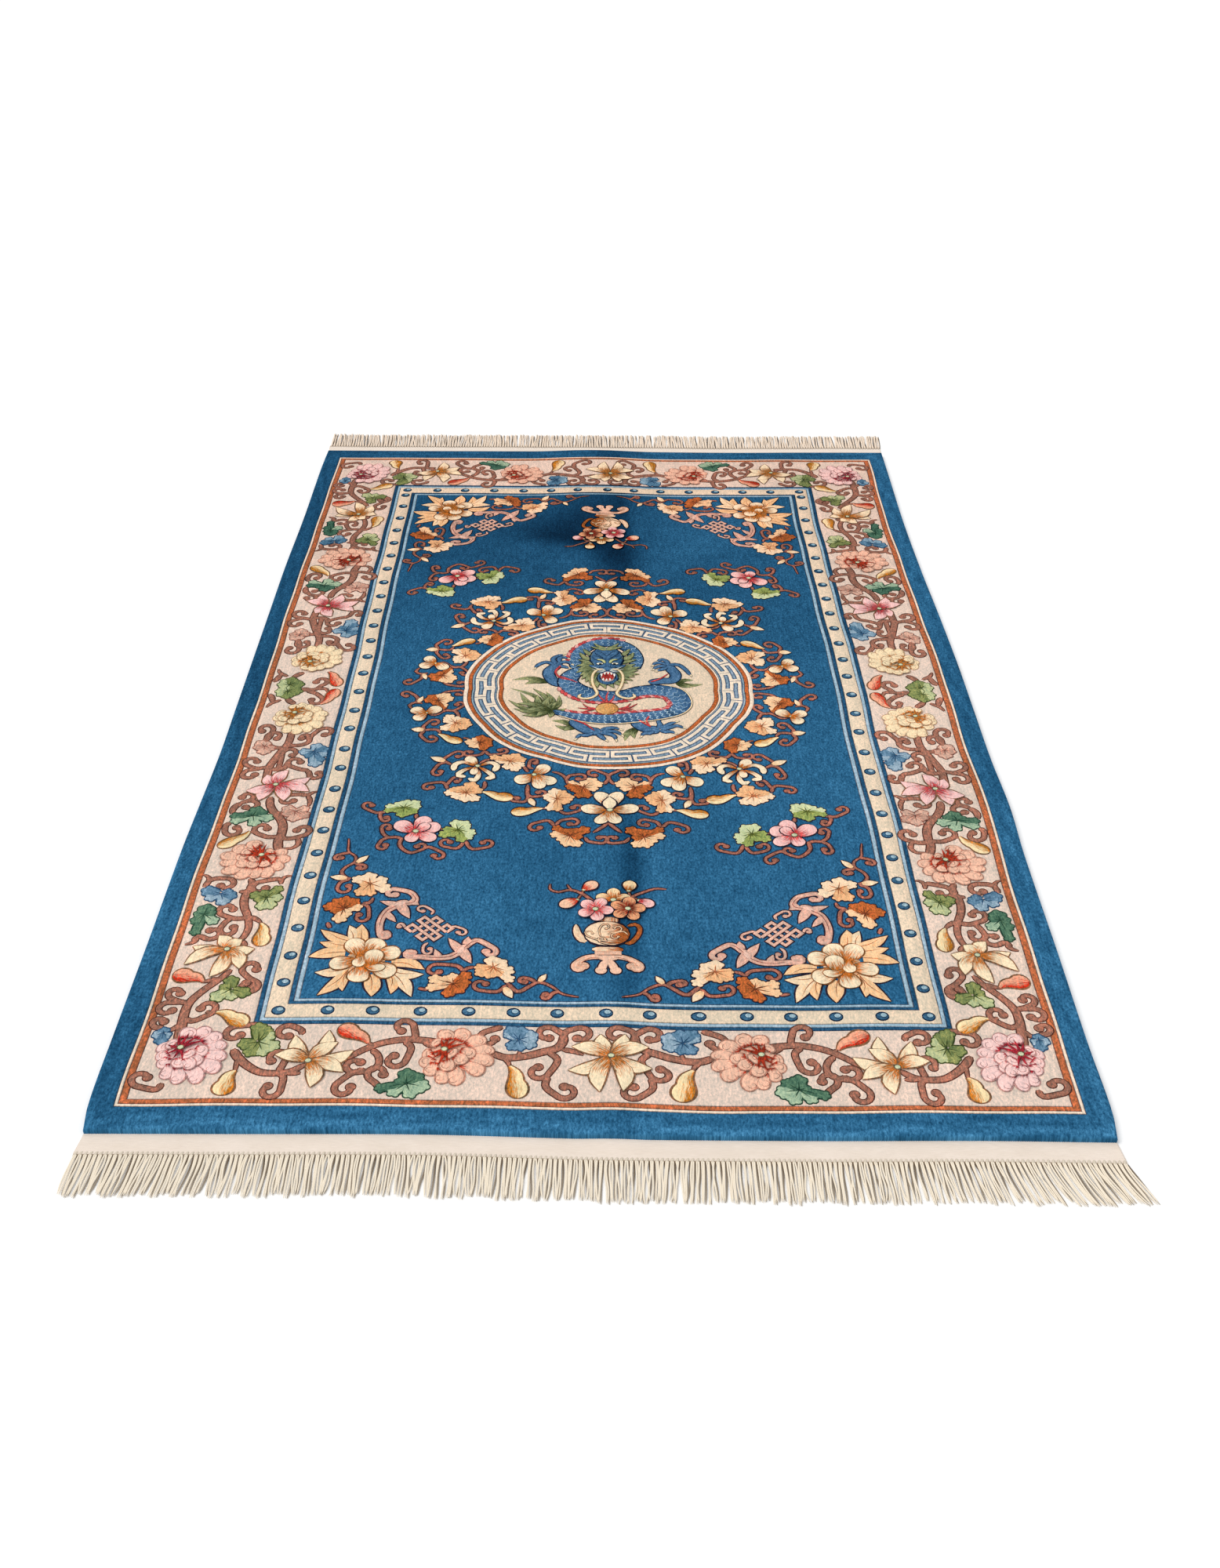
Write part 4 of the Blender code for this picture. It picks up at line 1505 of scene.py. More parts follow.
def medallion_art():
    """The round medallion's rings, its fret and its ground."""
    art = Art()
    angles = np.linspace(0, 360, 241)
    inner = [{"radius": radius, "height": 0.4, "colour": "ivory"} for radius in np.linspace(214, 0, 24)]
    rows = [*RINGS, *inner]
    radius = np.array([row["radius"] for row in rows])
    height = PILE + 0.3 + np.array([row["height"] for row in rows])
    colours = np.array([linear(row["colour"]) for row in rows])
    flat = on_ring(radius[None], angles[:, None])
    tint = np.broadcast_to(colours, (*flat.shape[:2], 3))
    art.patch_of(
        flat, np.broadcast_to(height, flat.shape[:2]), tint, tint * 0.82, np.zeros(flat.shape[:2]),
        plain_grain(flat),
    )
    art.base = PILE + 0.6
    # The fret's outline is painted shade of its carved groove
    art.ink = (78, 98, 124)
    path = []
    for number in range(20):
        path += [(number + step["along"], step["radius"]) for step in FRET_UNIT]
    path.append((20.0, FRET_UNIT[0]["radius"]))
    path = np.array(path)
    fine = []
    for (a, r), (b, q) in zip(path, path[1:]):
        share = np.linspace(0, 1, 5 if abs(b - a) > 0.1 else 2, endpoint=False)
        fine += [(a + (b - a) * t, r + (q - r) * t) for t in share]
    fine = np.array([*fine, tuple(path[-1])])
    angle = np.interp(fine[:, 0], np.arange(22), FRET_STARTS)
    stroke(art, on_ring(fine[:, 1], angle), 4.1, ((240, 222, 200), (222, 202, 174)), ink_line=2.0)
    return art


# The medallion's dragon, a plain traditional one: its body from behind the head to the tail
DRAGON_BLUE = ((88, 126, 162), (40, 76, 116))
# Painted shade of the carved groove round the dragon's blue parts
DRAGON_GROOVE_SHADE = (20, 34, 60)
SCALE_LINE = (182, 208, 222)
DRAGON_GREEN = ((156, 160, 114), (58, 68, 36))
# Painted shade of the carved groove round its green flames and marks
GREEN_GROOVE_SHADE = (70, 74, 44)
DRAGON_RED = ((206, 84, 84), (166, 40, 46))
FIN_PINK = ((240, 176, 168), (206, 96, 92))
WHISKER = ((246, 224, 184), (226, 190, 142))
PEARL = ((232, 182, 118), (190, 126, 66))
NECK = table(
    "x y half",
    (-58, 70, 12), (-63, 110, 15), (-52, 152, 17), (-20, 182, 17), (20, 186, 17), (54, 164, 17),
    (68, 124, 16), (62, 80, 12),
)
BODY = table(
    "x y half",
    (-44, 78, 15), (-70, 56, 20), (-78, 24, 23), (-58, -6, 24), (-26, -26, 23), (10, -33, 20),
    (44, -25, 18), (76, -8, 19),
    (112, -2, 22), (142, -11, 24), (156, -34, 21), (159, -58, 17), (144, -82, 17), (108, -98, 18),
    (60, -111, 19),
    (8, -119, 18), (-40, -112, 16), (-80, -99, 12), (-106, -88, 7),
)
LIMBS = table(
    "points start end",
    (((-86, 18), (-106, 26), (-118, 48), (-120, 70), (-106, 92), (-100, 108)), 13, 13),
    (((92, 26), (116, 36), (142, 40), (150, 62), (142, 84), (134, 102)), 11, 13),
    (((-66, -118), (-52, -140), (-32, -158), (-8, -166)), 12, 14),
    (((60, -122), (72, -142), (92, -152), (112, -150)), 12, 15),
)
FINGERS = (
    ((-106, 100), (-112, 122), (-100, 136), (-90, 140)),
    ((-98, 108), (-98, 126), (-88, 130), (-80, 124)),
    ((-98, 104), (-88, 110), (-78, 108), (-72, 100)),
    ((-100, 96), (-88, 90), (-78, 84)),
    ((-110, 98), (-126, 108), (-142, 98), (-150, 84)),
    ((136, 100), (134, 118), (124, 126), (114, 118)),
    ((132, 104), (122, 112), (110, 110), (103, 101)),
    ((132, 98), (120, 98), (110, 92), (104, 84)),
    ((134, 92), (122, 84), (112, 78)),
    ((138, 104), (158, 104), (172, 84), (180, 62)),
    ((-8, -158), (6, -152), (20, -150), (30, -156)),
    ((-6, -164), (12, -162), (26, -166), (33, -176)),
    ((-8, -168), (8, -172), (20, -180), (22, -192)),
    ((-14, -172), (-6, -182), (2, -194)),
    ((-22, -168), (-36, -176), (-48, -174), (-56, -186)),
    ((108, -146), (114, -132), (110, -120), (116, -112)),
    ((112, -146), (126, -136), (136, -126), (146, -122)),
    ((114, -150), (132, -142), (148, -134), (160, -142)),
    ((112, -154), (124, -158), (134, -156), (142, -162)),
    ((100, -156), (90, -166), (80, -166), (74, -176)),
)
FLAMES = table(
    "base tips",
    ((-120, 28), ((-196, 34, 9), (-170, 44, 8), (-168, 18, 9))),
    ((152, 32), ((206, 26, 8), (186, 42, 7), (184, 16, 8))),
    ((-58, -146), ((-108, -122, 10), (-100, -140, 8), (-82, -158, 8))),
    ((66, -148), ((40, -196, 9), (36, -172, 8), (60, -186, 7))),
    ((-112, -88), (
        (-198, 2, 7), (-176, -16, 9), (-150, 0, 8), (-140, -24, 10), (-122, -12, 7), (-116, -34, 10),
        (-94, -26, 7),
        (-98, -52, 9), (-78, -76, 8), (-198, -46, 7), (-180, -58, 10), (-186, -78, 7), (-160, -84, 11),
        (-168, -104, 7),
        (-138, -106, 9), (-112, -112, 7),
    )),
)
MANE = table(
    "angle reach half",
    (160, 60, 11), (172, 68, 11), (184, 64, 12), (196, 70, 11), (208, 66, 12), (220, 72, 11),
    (232, 74, 12), (244, 80, 11),
    (256, 84, 12), (268, 86, 12), (280, 84, 12), (292, 82, 11), (304, 76, 12), (316, 74, 11),
    (328, 68, 12), (340, 72, 11),
    (352, 66, 12), (4, 70, 11), (16, 62, 11),
)
MANE_CENTRE = (5.0, 82.0)
FACE = table(
    "x y half",
    (4, 162, 18), (4, 150, 32), (4, 130, 38), (4, 108, 37), (4, 90, 31), (5, 72, 25), (5, 58, 22),
)
# Parts of the face on its right side, mirrored to the left about its middle
FACE_MIDDLE = 4.0
FACE_MARKS = table(
    "level points start end colours",
    (5.4, ((26, 128), (42, 140), (54, 160)), 9, 3, DRAGON_GREEN),
    (5.4, ((32, 120), (50, 122), (62, 146)), 10, 3, DRAGON_GREEN),
    (5.0, ((26, 104), (44, 106), (66, 118)), 9, 2, DRAGON_GREEN),
    (7.0, ((5, 158), (18, 166), (30, 182)), 7, 2, DRAGON_GREEN),
    (7.0, ((4, 154), (16, 158), (38, 168)), 7, 2, DRAGON_GREEN),
    (7.6, ((2, 112), (10, 126), (20, 138), (27, 150)), 5, 8, DRAGON_BLUE),
    (7.6, ((14, 112), (24, 118), (33, 128)), 7, 6, DRAGON_BLUE),
    (8.2, ((9, 98), (14, 110), (26, 114)), 4.5, 2.5, ((206, 206, 146), (150, 156, 90))),
    (7.4, ((20, 86), (32, 84), (42, 92)), 8, 3, DRAGON_BLUE),
    (8.0, ((10, 72), (22, 74), (36, 84)), 2.6, 0.8, ((222, 226, 214), (180, 190, 190))),
    (8.0, ((10, 70), (22, 68), (38, 74)), 2.4, 0.8, ((222, 226, 214), (180, 190, 190))),
    (8.0, ((8, 68), (18, 62), (30, 62)), 2.2, 0.8, ((222, 226, 214), (180, 190, 190))),
    (
        9.2,
        (
            (14, 74), (28, 68), (36, 46), (34, 14), (28, -8), (24, -24), (34, -38), (50, -42), (62, -34),
            (58, -24),
        ),
        2.6, 3.4, WHISKER,
    ),
)
MOUTH_TEETH = (
    (-8, 55, -13), (-1, 59, -9), (6, 60, -9), (13, 58, -9), (19, 54, -13), (-4, 29, 9), (3, 27, 8),
    (10, 28, 9),
)
TOOTH = ((250, 244, 230), (222, 210, 186))
RED_LICKS = (
    ((6, -58), (-6, -40), (-14, -20)),
    ((7, -58), (4, -36), (8, -14)),
    ((9, -58), (18, -42), (20, -26)),
    ((-18, -78), (-34, -72), (-44, -58)),
    ((-18, -78), (-36, -78), (-54, -74)),
    ((-18, -80), (-34, -86), (-44, -90)),
    ((30, -80), (46, -72), (54, -58)),
    ((30, -80), (50, -76), (68, -58)),
    ((30, -82), (46, -84), (60, -78)),
    ((-96, 92), (-106, 66), (-92, 40), (-66, 34)),
    ((-98, 50), (-78, 38), (-58, 24)),
    ((96, 30), (116, 44), (134, 66)),
    ((-64, -118), (-40, -134), (-20, -160)),
    ((92, -104), (86, -122), (94, -144)),
    ((70, -120), (84, -134), (94, -144)),
)


def tapered(rows, count):
    """A smooth line and its half widths from a table of places."""
    line = spline([(row["x"], row["y"]) for row in rows], count)
    half = np.interp(
        np.linspace(0, len(rows) - 1, count), np.arange(len(rows)), [row["half"] for row in rows],
    )
    return line, half


def scaled_body(art, rows, count, fin_side, fin):
    """A stretch of the dragon: its ridged fin, its body and the lines of its scales."""
    line, half = tapered(rows, count)
    half[[0, -1]] *= 0.5
    ahead = np.gradient(line, axis=0)
    ahead = ahead / np.hypot(*ahead.T)[:, None]
    out = np.stack([-ahead[:, 1], ahead[:, 0]], -1)
    low = art.level
    # The fins' outlines are painted shade of their carved grooves
    art.ink = (110, 34, 40)
    for number, at in enumerate(range(fin[0], fin[1], 2)):
        root = line[at] + out[at] * fin_side * (half[at] - 2)
        tip = root + (out[at] * fin_side * 0.85 + ahead[at] * 0.85) * 10
        petal(
            art, root - ahead[at] * 3, tip, 5.4, DRAGON_RED if number % 3 else FIN_PINK, 0.3, start=0.9,
            peak=0.4, ink_line=0.6,
        )
    art.level += 0.5
    art.ink = DRAGON_GROOVE_SHADE
    blade(
        art, line, half, half, *DRAGON_BLUE, shade=lambda t, v: 0.35 + 0.3 * fin_side * v + 0 * t,
        ink_line=1.2,
    )
    art.level += 0.5
    for at in range(3, count - 3, 3):
        places = (-0.62, 0.0, 0.62) if at % 2 else (-0.31, 0.31)
        for place in places:
            wide = half[at] * 0.31
            middle = line[at] + out[at] * half[at] * place
            arc = spline([middle + out[at] * wide, middle + ahead[at] * 5.5, middle - out[at] * wide], 6)
            blade(art, arc, 0.55, 0.55, SCALE_LINE, SCALE_LINE, ink_line=0)
    art.level = low


def tuft(art, base, tips):
    """Green flames or hair from one root."""
    art.ink = GREEN_GROOVE_SHADE
    for number, (x, y, half) in enumerate(tips):
        art.level += 0.35
        bend = 0.14 if number % 2 else -0.14
        petal(
            art, base, (x, y), half, DRAGON_GREEN, from_base(0.7),
            bend=bend, start=0.7, peak=0.4, pointed=True, ink_line=0.7,
        )


def dragon_art():
    """The dragon with its pearl, in the middle of the medallion."""
    art = Art()
    art.base = PILE + 0.35
    art.rise = 0.1
    for row in FLAMES:
        art.level = 1.0
        tuft(art, row["base"], row["tips"])
    art.level = 2.4
    scaled_body(art, NECK, 64, 1, (8, 40))
    art.level = 3.4
    art.ink = DRAGON_GROOVE_SHADE
    all_stems(art, LIMBS, 1, DRAGON_BLUE, ink_line=1.2)
    for points in FINGERS:
        art.level = 3.9
        claw = np.array(points[-1], float)
        ahead = claw - np.array(points[-2], float)
        ahead = ahead / np.hypot(*ahead)
        petal(
            art, claw - ahead * 2, claw + ahead * 9, 2.6, WHISKER, 0.2, bend=0.15, start=0.9, peak=0.2,
            pointed=True, ink_line=0.6,
        )
        art.level = 4.3
        stem(art, points, 6.4, 4.2, DRAGON_BLUE, ink_line=1.0)
    art.level = 5.0
    scaled_body(art, BODY, 150, -1, (18, 92))
    scaled_body(art, BODY[-8:], 66, -1, (4, 60))
    art.level = 6.4
    line, half = tapered(BODY, 150)
    upper = edges_of(line, half, half)[0][66:146]
    stem(art, upper, 1.6, 1.4, WHISKER, ink_line=0.6)
    art.level = 6.4
    # The red licks and the pearl take outlines of painted groove shade
    art.ink = (110, 34, 40)
    for points in RED_LICKS:
        stem(art, points, 3.0, 1.0, DRAGON_RED, ink_line=0.5)
    art.ink = (120, 72, 40)
    oval(art, (6, -80), 23, PEARL, shade=lambda t, v: np.clip(0.2 + 0.5 * t, 0, 1) + 0 * v, ink_line=1.0)
    art.level = 6.9
    for radius in (6, 11, 16):
        turn = np.radians(np.linspace(20, 250, 8)) + radius
        arc = np.stack([6 + radius * np.cos(turn), -80 + radius * np.sin(turn)], -1)
        stem(art, arc, 0.8, 0.5, (PEARL[1],) * 2, ink_line=0)
    art.level = 7.0
    for number, row in enumerate(MANE):
        tip = around(MANE_CENTRE, row["reach"], row["angle"])
        art.level = 7.0 + 0.4 * (number % 2)
        tuft(art, MANE_CENTRE, ((*tip, row["half"]),))
    face_art(art)
    return art


def face_art(art):
    """The dragon's face, of a plain traditional kind."""
    ground = 8.4
    art.level = ground
    art.ink = DRAGON_GROOVE_SHADE
    line, half = tapered(FACE, 24)
    half[[0, -1]] *= 0.4
    blade(art, line, half, half, *DRAGON_BLUE, shade=0.35, ink_line=1.0)
    oval(art, (5, 40), 28, DRAGON_BLUE, squash=0.85, angle=math.pi / 2, shade=0.5, ink_line=1.0)
    art.level = ground + 0.5
    oval(
        art, (5, 43), 20, ((228, 200, 190), (190, 150, 150)), squash=0.92, angle=math.pi / 2, shade=0.1,
        ink_line=0.8,
    )
    art.level = ground + 1.0
    oval(
        art, (5, 43), 17, ((196, 70, 62), (132, 34, 34)), squash=0.96, angle=math.pi / 2, shade=0.45,
        ink_line=0.6,
    )
    art.level = ground + 1.4
    for x, y, reach in MOUTH_TEETH:
        petal(
            art, (x, y), (x, y + reach), 2.6, TOOTH, 0.1, start=0.9, peak=0.2, pointed=True, ink_line=0.5,
        )
    for row in FACE_MARKS:
        art.level = row["level"] + 2.2
        # Each mark's outline is painted shade of its carved groove
        art.ink = GREEN_GROOVE_SHADE if row["colours"] is DRAGON_GREEN else DRAGON_GROOVE_SHADE
        if row["colours"] is WHISKER:
            art.ink = (150, 118, 74)
        for side in (-1, 1):
            points = [(FACE_MIDDLE + side * (x - FACE_MIDDLE) + 1, y) for x, y in row["points"]]
            stem(art, points, row["start"], row["end"], row["colours"], ink_line=0.7)
    art.level = ground + 1.6
    art.ink = DRAGON_GROOVE_SHADE
    for x in (-7, 5, 17):
        oval(art, (x, 76 if x == 5 else 74), 8.5 if x == 5 else 6.5, DRAGON_BLUE, shade=0.1, ink_line=0.9)
    for side in (-1, 1):
        x = FACE_MIDDLE + 1 + side * 16
        art.level = ground + 2.0
        oval(art, (x, 96), 7.0, ((244, 238, 214), (200, 190, 150)), squash=0.6, shade=0.1, ink_line=1.2)
        art.level = ground + 2.4
        oval(art, (x - side, 94.5), 3.4, ((24, 26, 34), (14, 16, 22)), shade=0.5, ink_line=0)


# Colours of the field's figures
# Painted shade of the carved groove round the field's figures
FIELD_GROOVE_SHADE = (46, 36, 50)
FIELD_VINE = ((172, 112, 94), (142, 82, 64))
FIELD_CREAM = ((248, 226, 192), (180, 102, 40))
FIELD_PINK = ((246, 196, 190), (192, 60, 62))
PEACH_LEAF = ((246, 204, 158), (232, 164, 104))
CREAM_LEAF = ((248, 220, 184), (240, 196, 148))
BAT = ((228, 184, 164), (194, 136, 118))
BLOSSOM_TAN = ((236, 166, 122), (140, 44, 26))
BLOSSOM_CREAM = ((240, 208, 162), (176, 96, 40))
BUD_PEACH = ((246, 196, 164), (200, 60, 36))
POT = ((246, 214, 180), (178, 94, 44))
POT_STAND = ((240, 196, 170), (206, 146, 116))
POT_RELIEF = ((240, 202, 164), (214, 160, 116))
LEAF_RUST = ((246, 204, 160), (192, 104, 54), (112, 58, 36))
LEAF_PEACH = ((248, 218, 184), (242, 186, 136), (168, 98, 62))
LEAF_LIME = ((208, 216, 170), (156, 170, 96), (84, 92, 40))

# How much wider the field's stems are than charted, and its curls' half width
FIELD_WIDEN = 1.15
FIELD_CURL = 3.8

# Wreath round the medallion, lower left quarter
WREATH_STEMS = table(
    "points start end",
    (((8, -456), (2, -474), (-18, -496)), 4.0, 3.0),
    (((-101, -303), (-88, -307), (-77, -318), (-72, -331), (-70, -345)), 2.4, 3.6),
    (((-157, -284), (-148, -304)), 3.0, 3.4),
    (((-148, -346), (-148, -371), (-146, -386), (-150, -399)), 3.6, 3.4),
    (((-120, -422), (-108, -422)), 2.0, 2.6),
    (((-230, -336), (-229, -350), (-233, -362)), 3.6, 3.2),
    (((-222, -260), (-232, -265), (-242, -275)), 2.8, 3.2),
    (((-282, -186), (-270, -190)), 2.4, 2.4),
    (((-329, -172), (-336, -159), (-350, -158), (-364, -161)), 3.2, 3.4),
    (((-296, -112), (-304, -92), (-314, -84)), 3.0, 3.6),
    (((-360, -101), (-346, -104), (-330, -88), (-314, -84)), 3.0, 3.8),
    (((-396, -81), (-402, -66), (-390, -56), (-376, -60)), 3.0, 3.0),
)
WREATH_SCROLLS = table(
    "points ball turn radius",
    (((-90, -476), (-104, -460)), (-117, -482), 1, 13),
    (((-88, -474), (-80, -460)), (-62, -470), -1, 12),
    (((-32, -510), (-25, -522)), (-6, -511), 1, 12),
    (((-2, -344), (7, -328), (7, -314)), (-18, -314), 1, 12),
    (((-73, -328), (-67, -315)), (-50, -325), -1, 11),
    (((-148, -392), (-153, -401)), (-166, -389), -1, 8),
    (((-147, -374), (-141, -384)), (-127, -370), 1, 10),
    (((-84, -430), (-70, -438)), (-60, -418), 1, 11),
    (((-301, -362), (-306, -346), (-316, -341)), (-331, -358), 1, 11),
    (((-303, -350), (-299, -340)), (-284, -338), -1, 10),
    (((-138, -293), (-146, -287)), (-134, -273), -1, 9),
    (((-235, -232), (-244, -245)), (-263, -236), -1, 10),
    (((-233, -232), (-224, -244)), (-205, -228), 1, 10),
    (((-362, -158), (-366, -148)), (-345, -138), -1, 11),
    (((-362, -162), (-368, -178)), (-345, -184), 1, 12),
    (((-322, -87), (-308, -85)), (-305, -63), 1, 10),
    (((-388, -58), (-388, -38)), (-412, -31), 1, 11),
    (((-341, -26), (-329, -14)), (-306, -23), -1, 11),
    (((-298, -282), (-310, -272), (-316, -264)), (-287, -253), -1, 12),
    (((-308, -274), (-322, -280)), (-318, -305), 1, 11),
)
WREATH_LEAVES = table(
    "centre kind lobes",
    (
        (-59, -506), LEAF_RUST,
        (
            (-95, -501, 10, 0), (-82, -518, 10, 0), (-66, -536, 12, 0), (-42, -536, 11, 0),
            (-91, -479, 9, 1), (-71, -487, 12, 1), (-48, -485, 12, 1), (-27, -483, 12, 1),
            (-38, -509, 12, 1),
        ),
    ),
    (
        (-41, -353), LEAF_RUST,
        (
            (-74, -350, 10, 1), (-63, -364, 10, 1), (-50, -386, 10, 1), (-32, -386, 10, 1),
            (-68, -335, 8, 0), (-35, -332, 11, 0), (-17, -326, 13, 0), (-5, -340, 11, 0),
            (-14, -358, 10, 0), (-45, -360, 10, 0),
        ),
    ),
    (
        (-91, -391), LEAF_PEACH,
        (
            (-97, -359, 13, 0), (-116, -381, 11, 0), (-109, -396, 9, 0), (-105, -428, 10, 0),
            (-76, -366, 11, 1), (-60, -384, 12, 1), (-68, -402, 11, 1), (-88, -430, 10, 1),
        ),
    ),
    (
        (-263, -375), LEAF_PEACH,
        (
            (-304, -375, 10, 0), (-289, -389, 12, 0), (-263, -403, 12, 0), (-239, -398, 11, 0),
            (-252, -341, 15, 1), (-267, -354, 9, 1), (-234, -363, 11, 1), (-282, -357, 11, 1),
            (-295, -363, 9, 1),
        ),
    ),
    (
        (-184, -267), LEAF_PEACH,
        (
            (-212, -269, 9, 0), (-189, -294, 11, 0), (-169, -300, 11, 0), (-157, -284, 10, 0),
            (-222, -251, 10, 1), (-197, -246, 11, 1), (-168, -243, 12, 1), (-154, -260, 10, 1),
        ),
    ),
    (
        (-247, -202), LEAF_RUST,
        (
            (-266, -217, 11, 0), (-276, -200, 10, 0), (-262, -188, 9, 0), (-245, -223, 9, 0),
            (-244, -178, 12, 1), (-224, -191, 12, 1), (-223, -213, 11, 1), (-236, -229, 9, 1),
        ),
    ),
    (
        (-302, -134), LEAF_PEACH,
        (
            (-322, -105, 12, 0), (-327, -121, 10, 0), (-300, -110, 11, 0), (-329, -158, 11, 0),
            (-277, -121, 12, 1), (-270, -139, 12, 1), (-280, -154, 10, 1), (-305, -166, 11, 1),
        ),
    ),
    (
        (-346, -50), LEAF_RUST,
        (
            (-324, -23, 12, 0), (-315, -37, 11, 0), (-323, -52, 10, 0), (-342, -24, 9, 0),
            (-327, -73, 9, 0), (-365, -31, 12, 1), (-373, -46, 11, 1), (-353, -64, 11, 1),
            (-332, -84, 9, 1),
        ),
    ),
)
WREATH_BUDS = table(
    "thin fat half kind side",
    ((-232, -370), (-174, -388), 15, BUD_GOLD, -1),
    ((-117, -422), (-174, -433), 15, BUD_GOLD, 1),
    ((-333, -174), (-283, -201), 13, BUD_GOLD, -1),
)
# Single small leaves: base, tip, half width
SMALL_LEAVES = table(
    "base tip half",
    ((-143, -391), (-132, -415), 7),
    ((-364, -160), (-389, -157), 9),
    ((-385, -56), (-377, -33), 6),
    ((-312, -270), (-341, -256), 9),
)
# Petals of the wreath's flowers: eye, tip, half width, bend
WREATH_PETALS = table(
    "eye tip half bend",
    ((-136, -311), (-113, -279), 16, -0.10),
    ((-136, -314), (-174, -332), 17, 0.10),
    ((-136, -314), (-92, -336), 16, -0.12),
    ((-136, -314), (-124, -360), 15, 0.05),
    ((-366, -99), (-341, -73), 15, -0.10),
    ((-366, -99), (-393, -79), 15, 0.10),
    ((-366, -99), (-385, -126), 14, 0.00),
)
CURLED_FLOWER = table(
    "points start end",
    (((-253, -284), (-274, -272), (-291, -282), (-293, -302)), 4.0, 8.0),
    (((-254, -290), (-272, -300), (-284, -317), (-268, -322)), 4.0, 7.5),
    (((-248, -292), (-243, -316), (-250, -333), (-262, -328)), 4.0, 7.5),
    (((-242, -290), (-226, -304), (-215, -321), (-229, -328)), 4.0, 7.5),
    (((-241, -284), (-222, -273), (-208, -284), (-214, -303)), 4.0, 8.0),
)
CENTRE_PETALS = table(
    "tip half bend",
    ((-44, -417), 16, 0.05),
    ((62, -416), 16, -0.05),
    ((-17, -371), 16, -0.10),
    ((30, -371), 16, 0.10),
    ((-15, -468), 14, 0.10),
    ((28, -468), 14, -0.10),
)

# Corner spray, lower left quarter
SPRAY_STEMS = table(
    "points start end",
    (((-465, -755), (-459, -770)), 3.2, 3.6),
    (((-410, -703), (-398, -701), (-394, -688)), 3.4, 3.0),
    (
        (
            (-440, -636), (-449, -635), (-460, -620), (-455, -604), (-441, -589), (-443, -572),
            (-457, -559), (-460, -540), (-463, -520),
        ),
        3.4, 1.2,
    ),
    (((-294, -915), (-278, -919)), 3.0, 2.6),
    (((-225, -874), (-217, -866), (-205, -864)), 3.4, 2.6),
    (
        ((-152, -900), (-134, -920), (-116, -907), (-100, -896), (-79, -906), (-61, -923), (-34, -931)),
        4.0, 1.2,
    ),
    (((-349, -444), (-347, -458)), 3.2, 3.2),
    (((-300, -489), (-292, -492)), 2.6, 2.6),
    (((-404, -437), (-417, -439)), 3.4, 3.4),
)
SPRAY_SCROLLS = table(
    "points ball turn radius",
    (((-412, -706), (-400, -712)), (-413, -734), -1, 13),
    (((-442, -639), (-456, -646)), (-441, -657), 1, 14),
    (((-441, -593), (-436, -595)), (-431, -606), -1, 8),
    (((-455, -564), (-460, -563)), (-468, -577), 1, 8),
    (((-224, -874), (-237, -861)), (-264, -876), 1, 14),
    (((-153, -905), (-166, -921)), (-186, -903), -1, 13),
    (((-106, -898), (-112, -891)), (-124, -896), 1, 7),
    (((-66, -917), (-76, -922)), (-88, -925), -1, 7),
    (((-366, -518), (-378, -514), (-390, -515), (-401, -505)), (-393, -489), -1, 10),
    (((-390, -515), (-401, -523)), (-393, -538), 1, 10),
    (((-366, -516), (-368, -536), (-358, -552), (-344, -560)), (-336, -541), 1, 10),
    (((-326, -550), (-314, -543)), (-303, -568), -1, 12),
    (((-251, -524), (-257, -540), (-266, -547)), (-277, -528), -1, 12),
    (((-248, -524), (-242, -540), (-232, -548)), (-217, -528), 1, 12),
    (((-410, -437), (-424, -440)), (-435, -417), -1, 11),
    (((-414, -439), (-415, -450)), (-402, -455), 1, 8),
)
SPRAY_LEAVES = table(
    "centre kind lobes",
    (
        (-441, -718), LEAF_RUST,
        (
            (-447, -755, 13, 0), (-434, -741, 11, 0), (-411, -712, 12, 0), (-424, -722, 9, 0),
            (-476, -712, 11, 1), (-461, -695, 12, 1), (-440, -687, 12, 1), (-419, -694, 11, 1),
            (-462, -726, 9, 1),
        ),
    ),
    (
        (-404, -651), LEAF_PEACH,
        (
            (-411, -621, 14, 0), (-378, -636, 12, 0), (-369, -666, 13, 0), (-436, -635, 11, 0),
            (-420, -655, 11, 1), (-422, -682, 12, 1), (-399, -683, 10, 1),
        ),
    ),
    (
        (-238, -905), LEAF_RUST,
        (
            (-278, -890, 11, 0), (-262, -892, 11, 0), (-242, -880, 9, 0), (-280, -915, 10, 0),
            (-214, -879, 11, 1), (-212, -901, 12, 1), (-221, -924, 12, 1), (-246, -935, 11, 1),
        ),
    ),
    (
        (-177, -864), LEAF_PEACH,
        (
            (-180, -838, 14, 0), (-158, -847, 12, 0), (-144, -874, 12, 0), (-144, -896, 10, 0),
            (-206, -865, 9, 1), (-203, -882, 11, 1), (-184, -889, 11, 1), (-164, -884, 10, 1),
        ),
    ),
    (
        (-374, -424), LEAF_LIME,
        (
            (-391, -409, 12, 0), (-370, -400, 13, 0), (-349, -404, 11, 0), (-345, -420, 10, 0),
            (-408, -419, 9, 0), (-409, -435, 8, 1), (-390, -437, 9, 1), (-374, -453, 12, 1),
            (-350, -440, 11, 1),
        ),
    ),
    (
        (-266, -492), LEAF_LIME,
        (
            (-274, -463, 12, 0), (-251, -466, 12, 0), (-245, -482, 9, 0), (-234, -502, 11, 0),
            (-239, -518, 9, 0), (-298, -510, 11, 1), (-282, -511, 10, 1), (-293, -491, 9, 1),
            (-254, -527, 11, 1), (-268, -508, 9, 1),
        ),
    ),
)
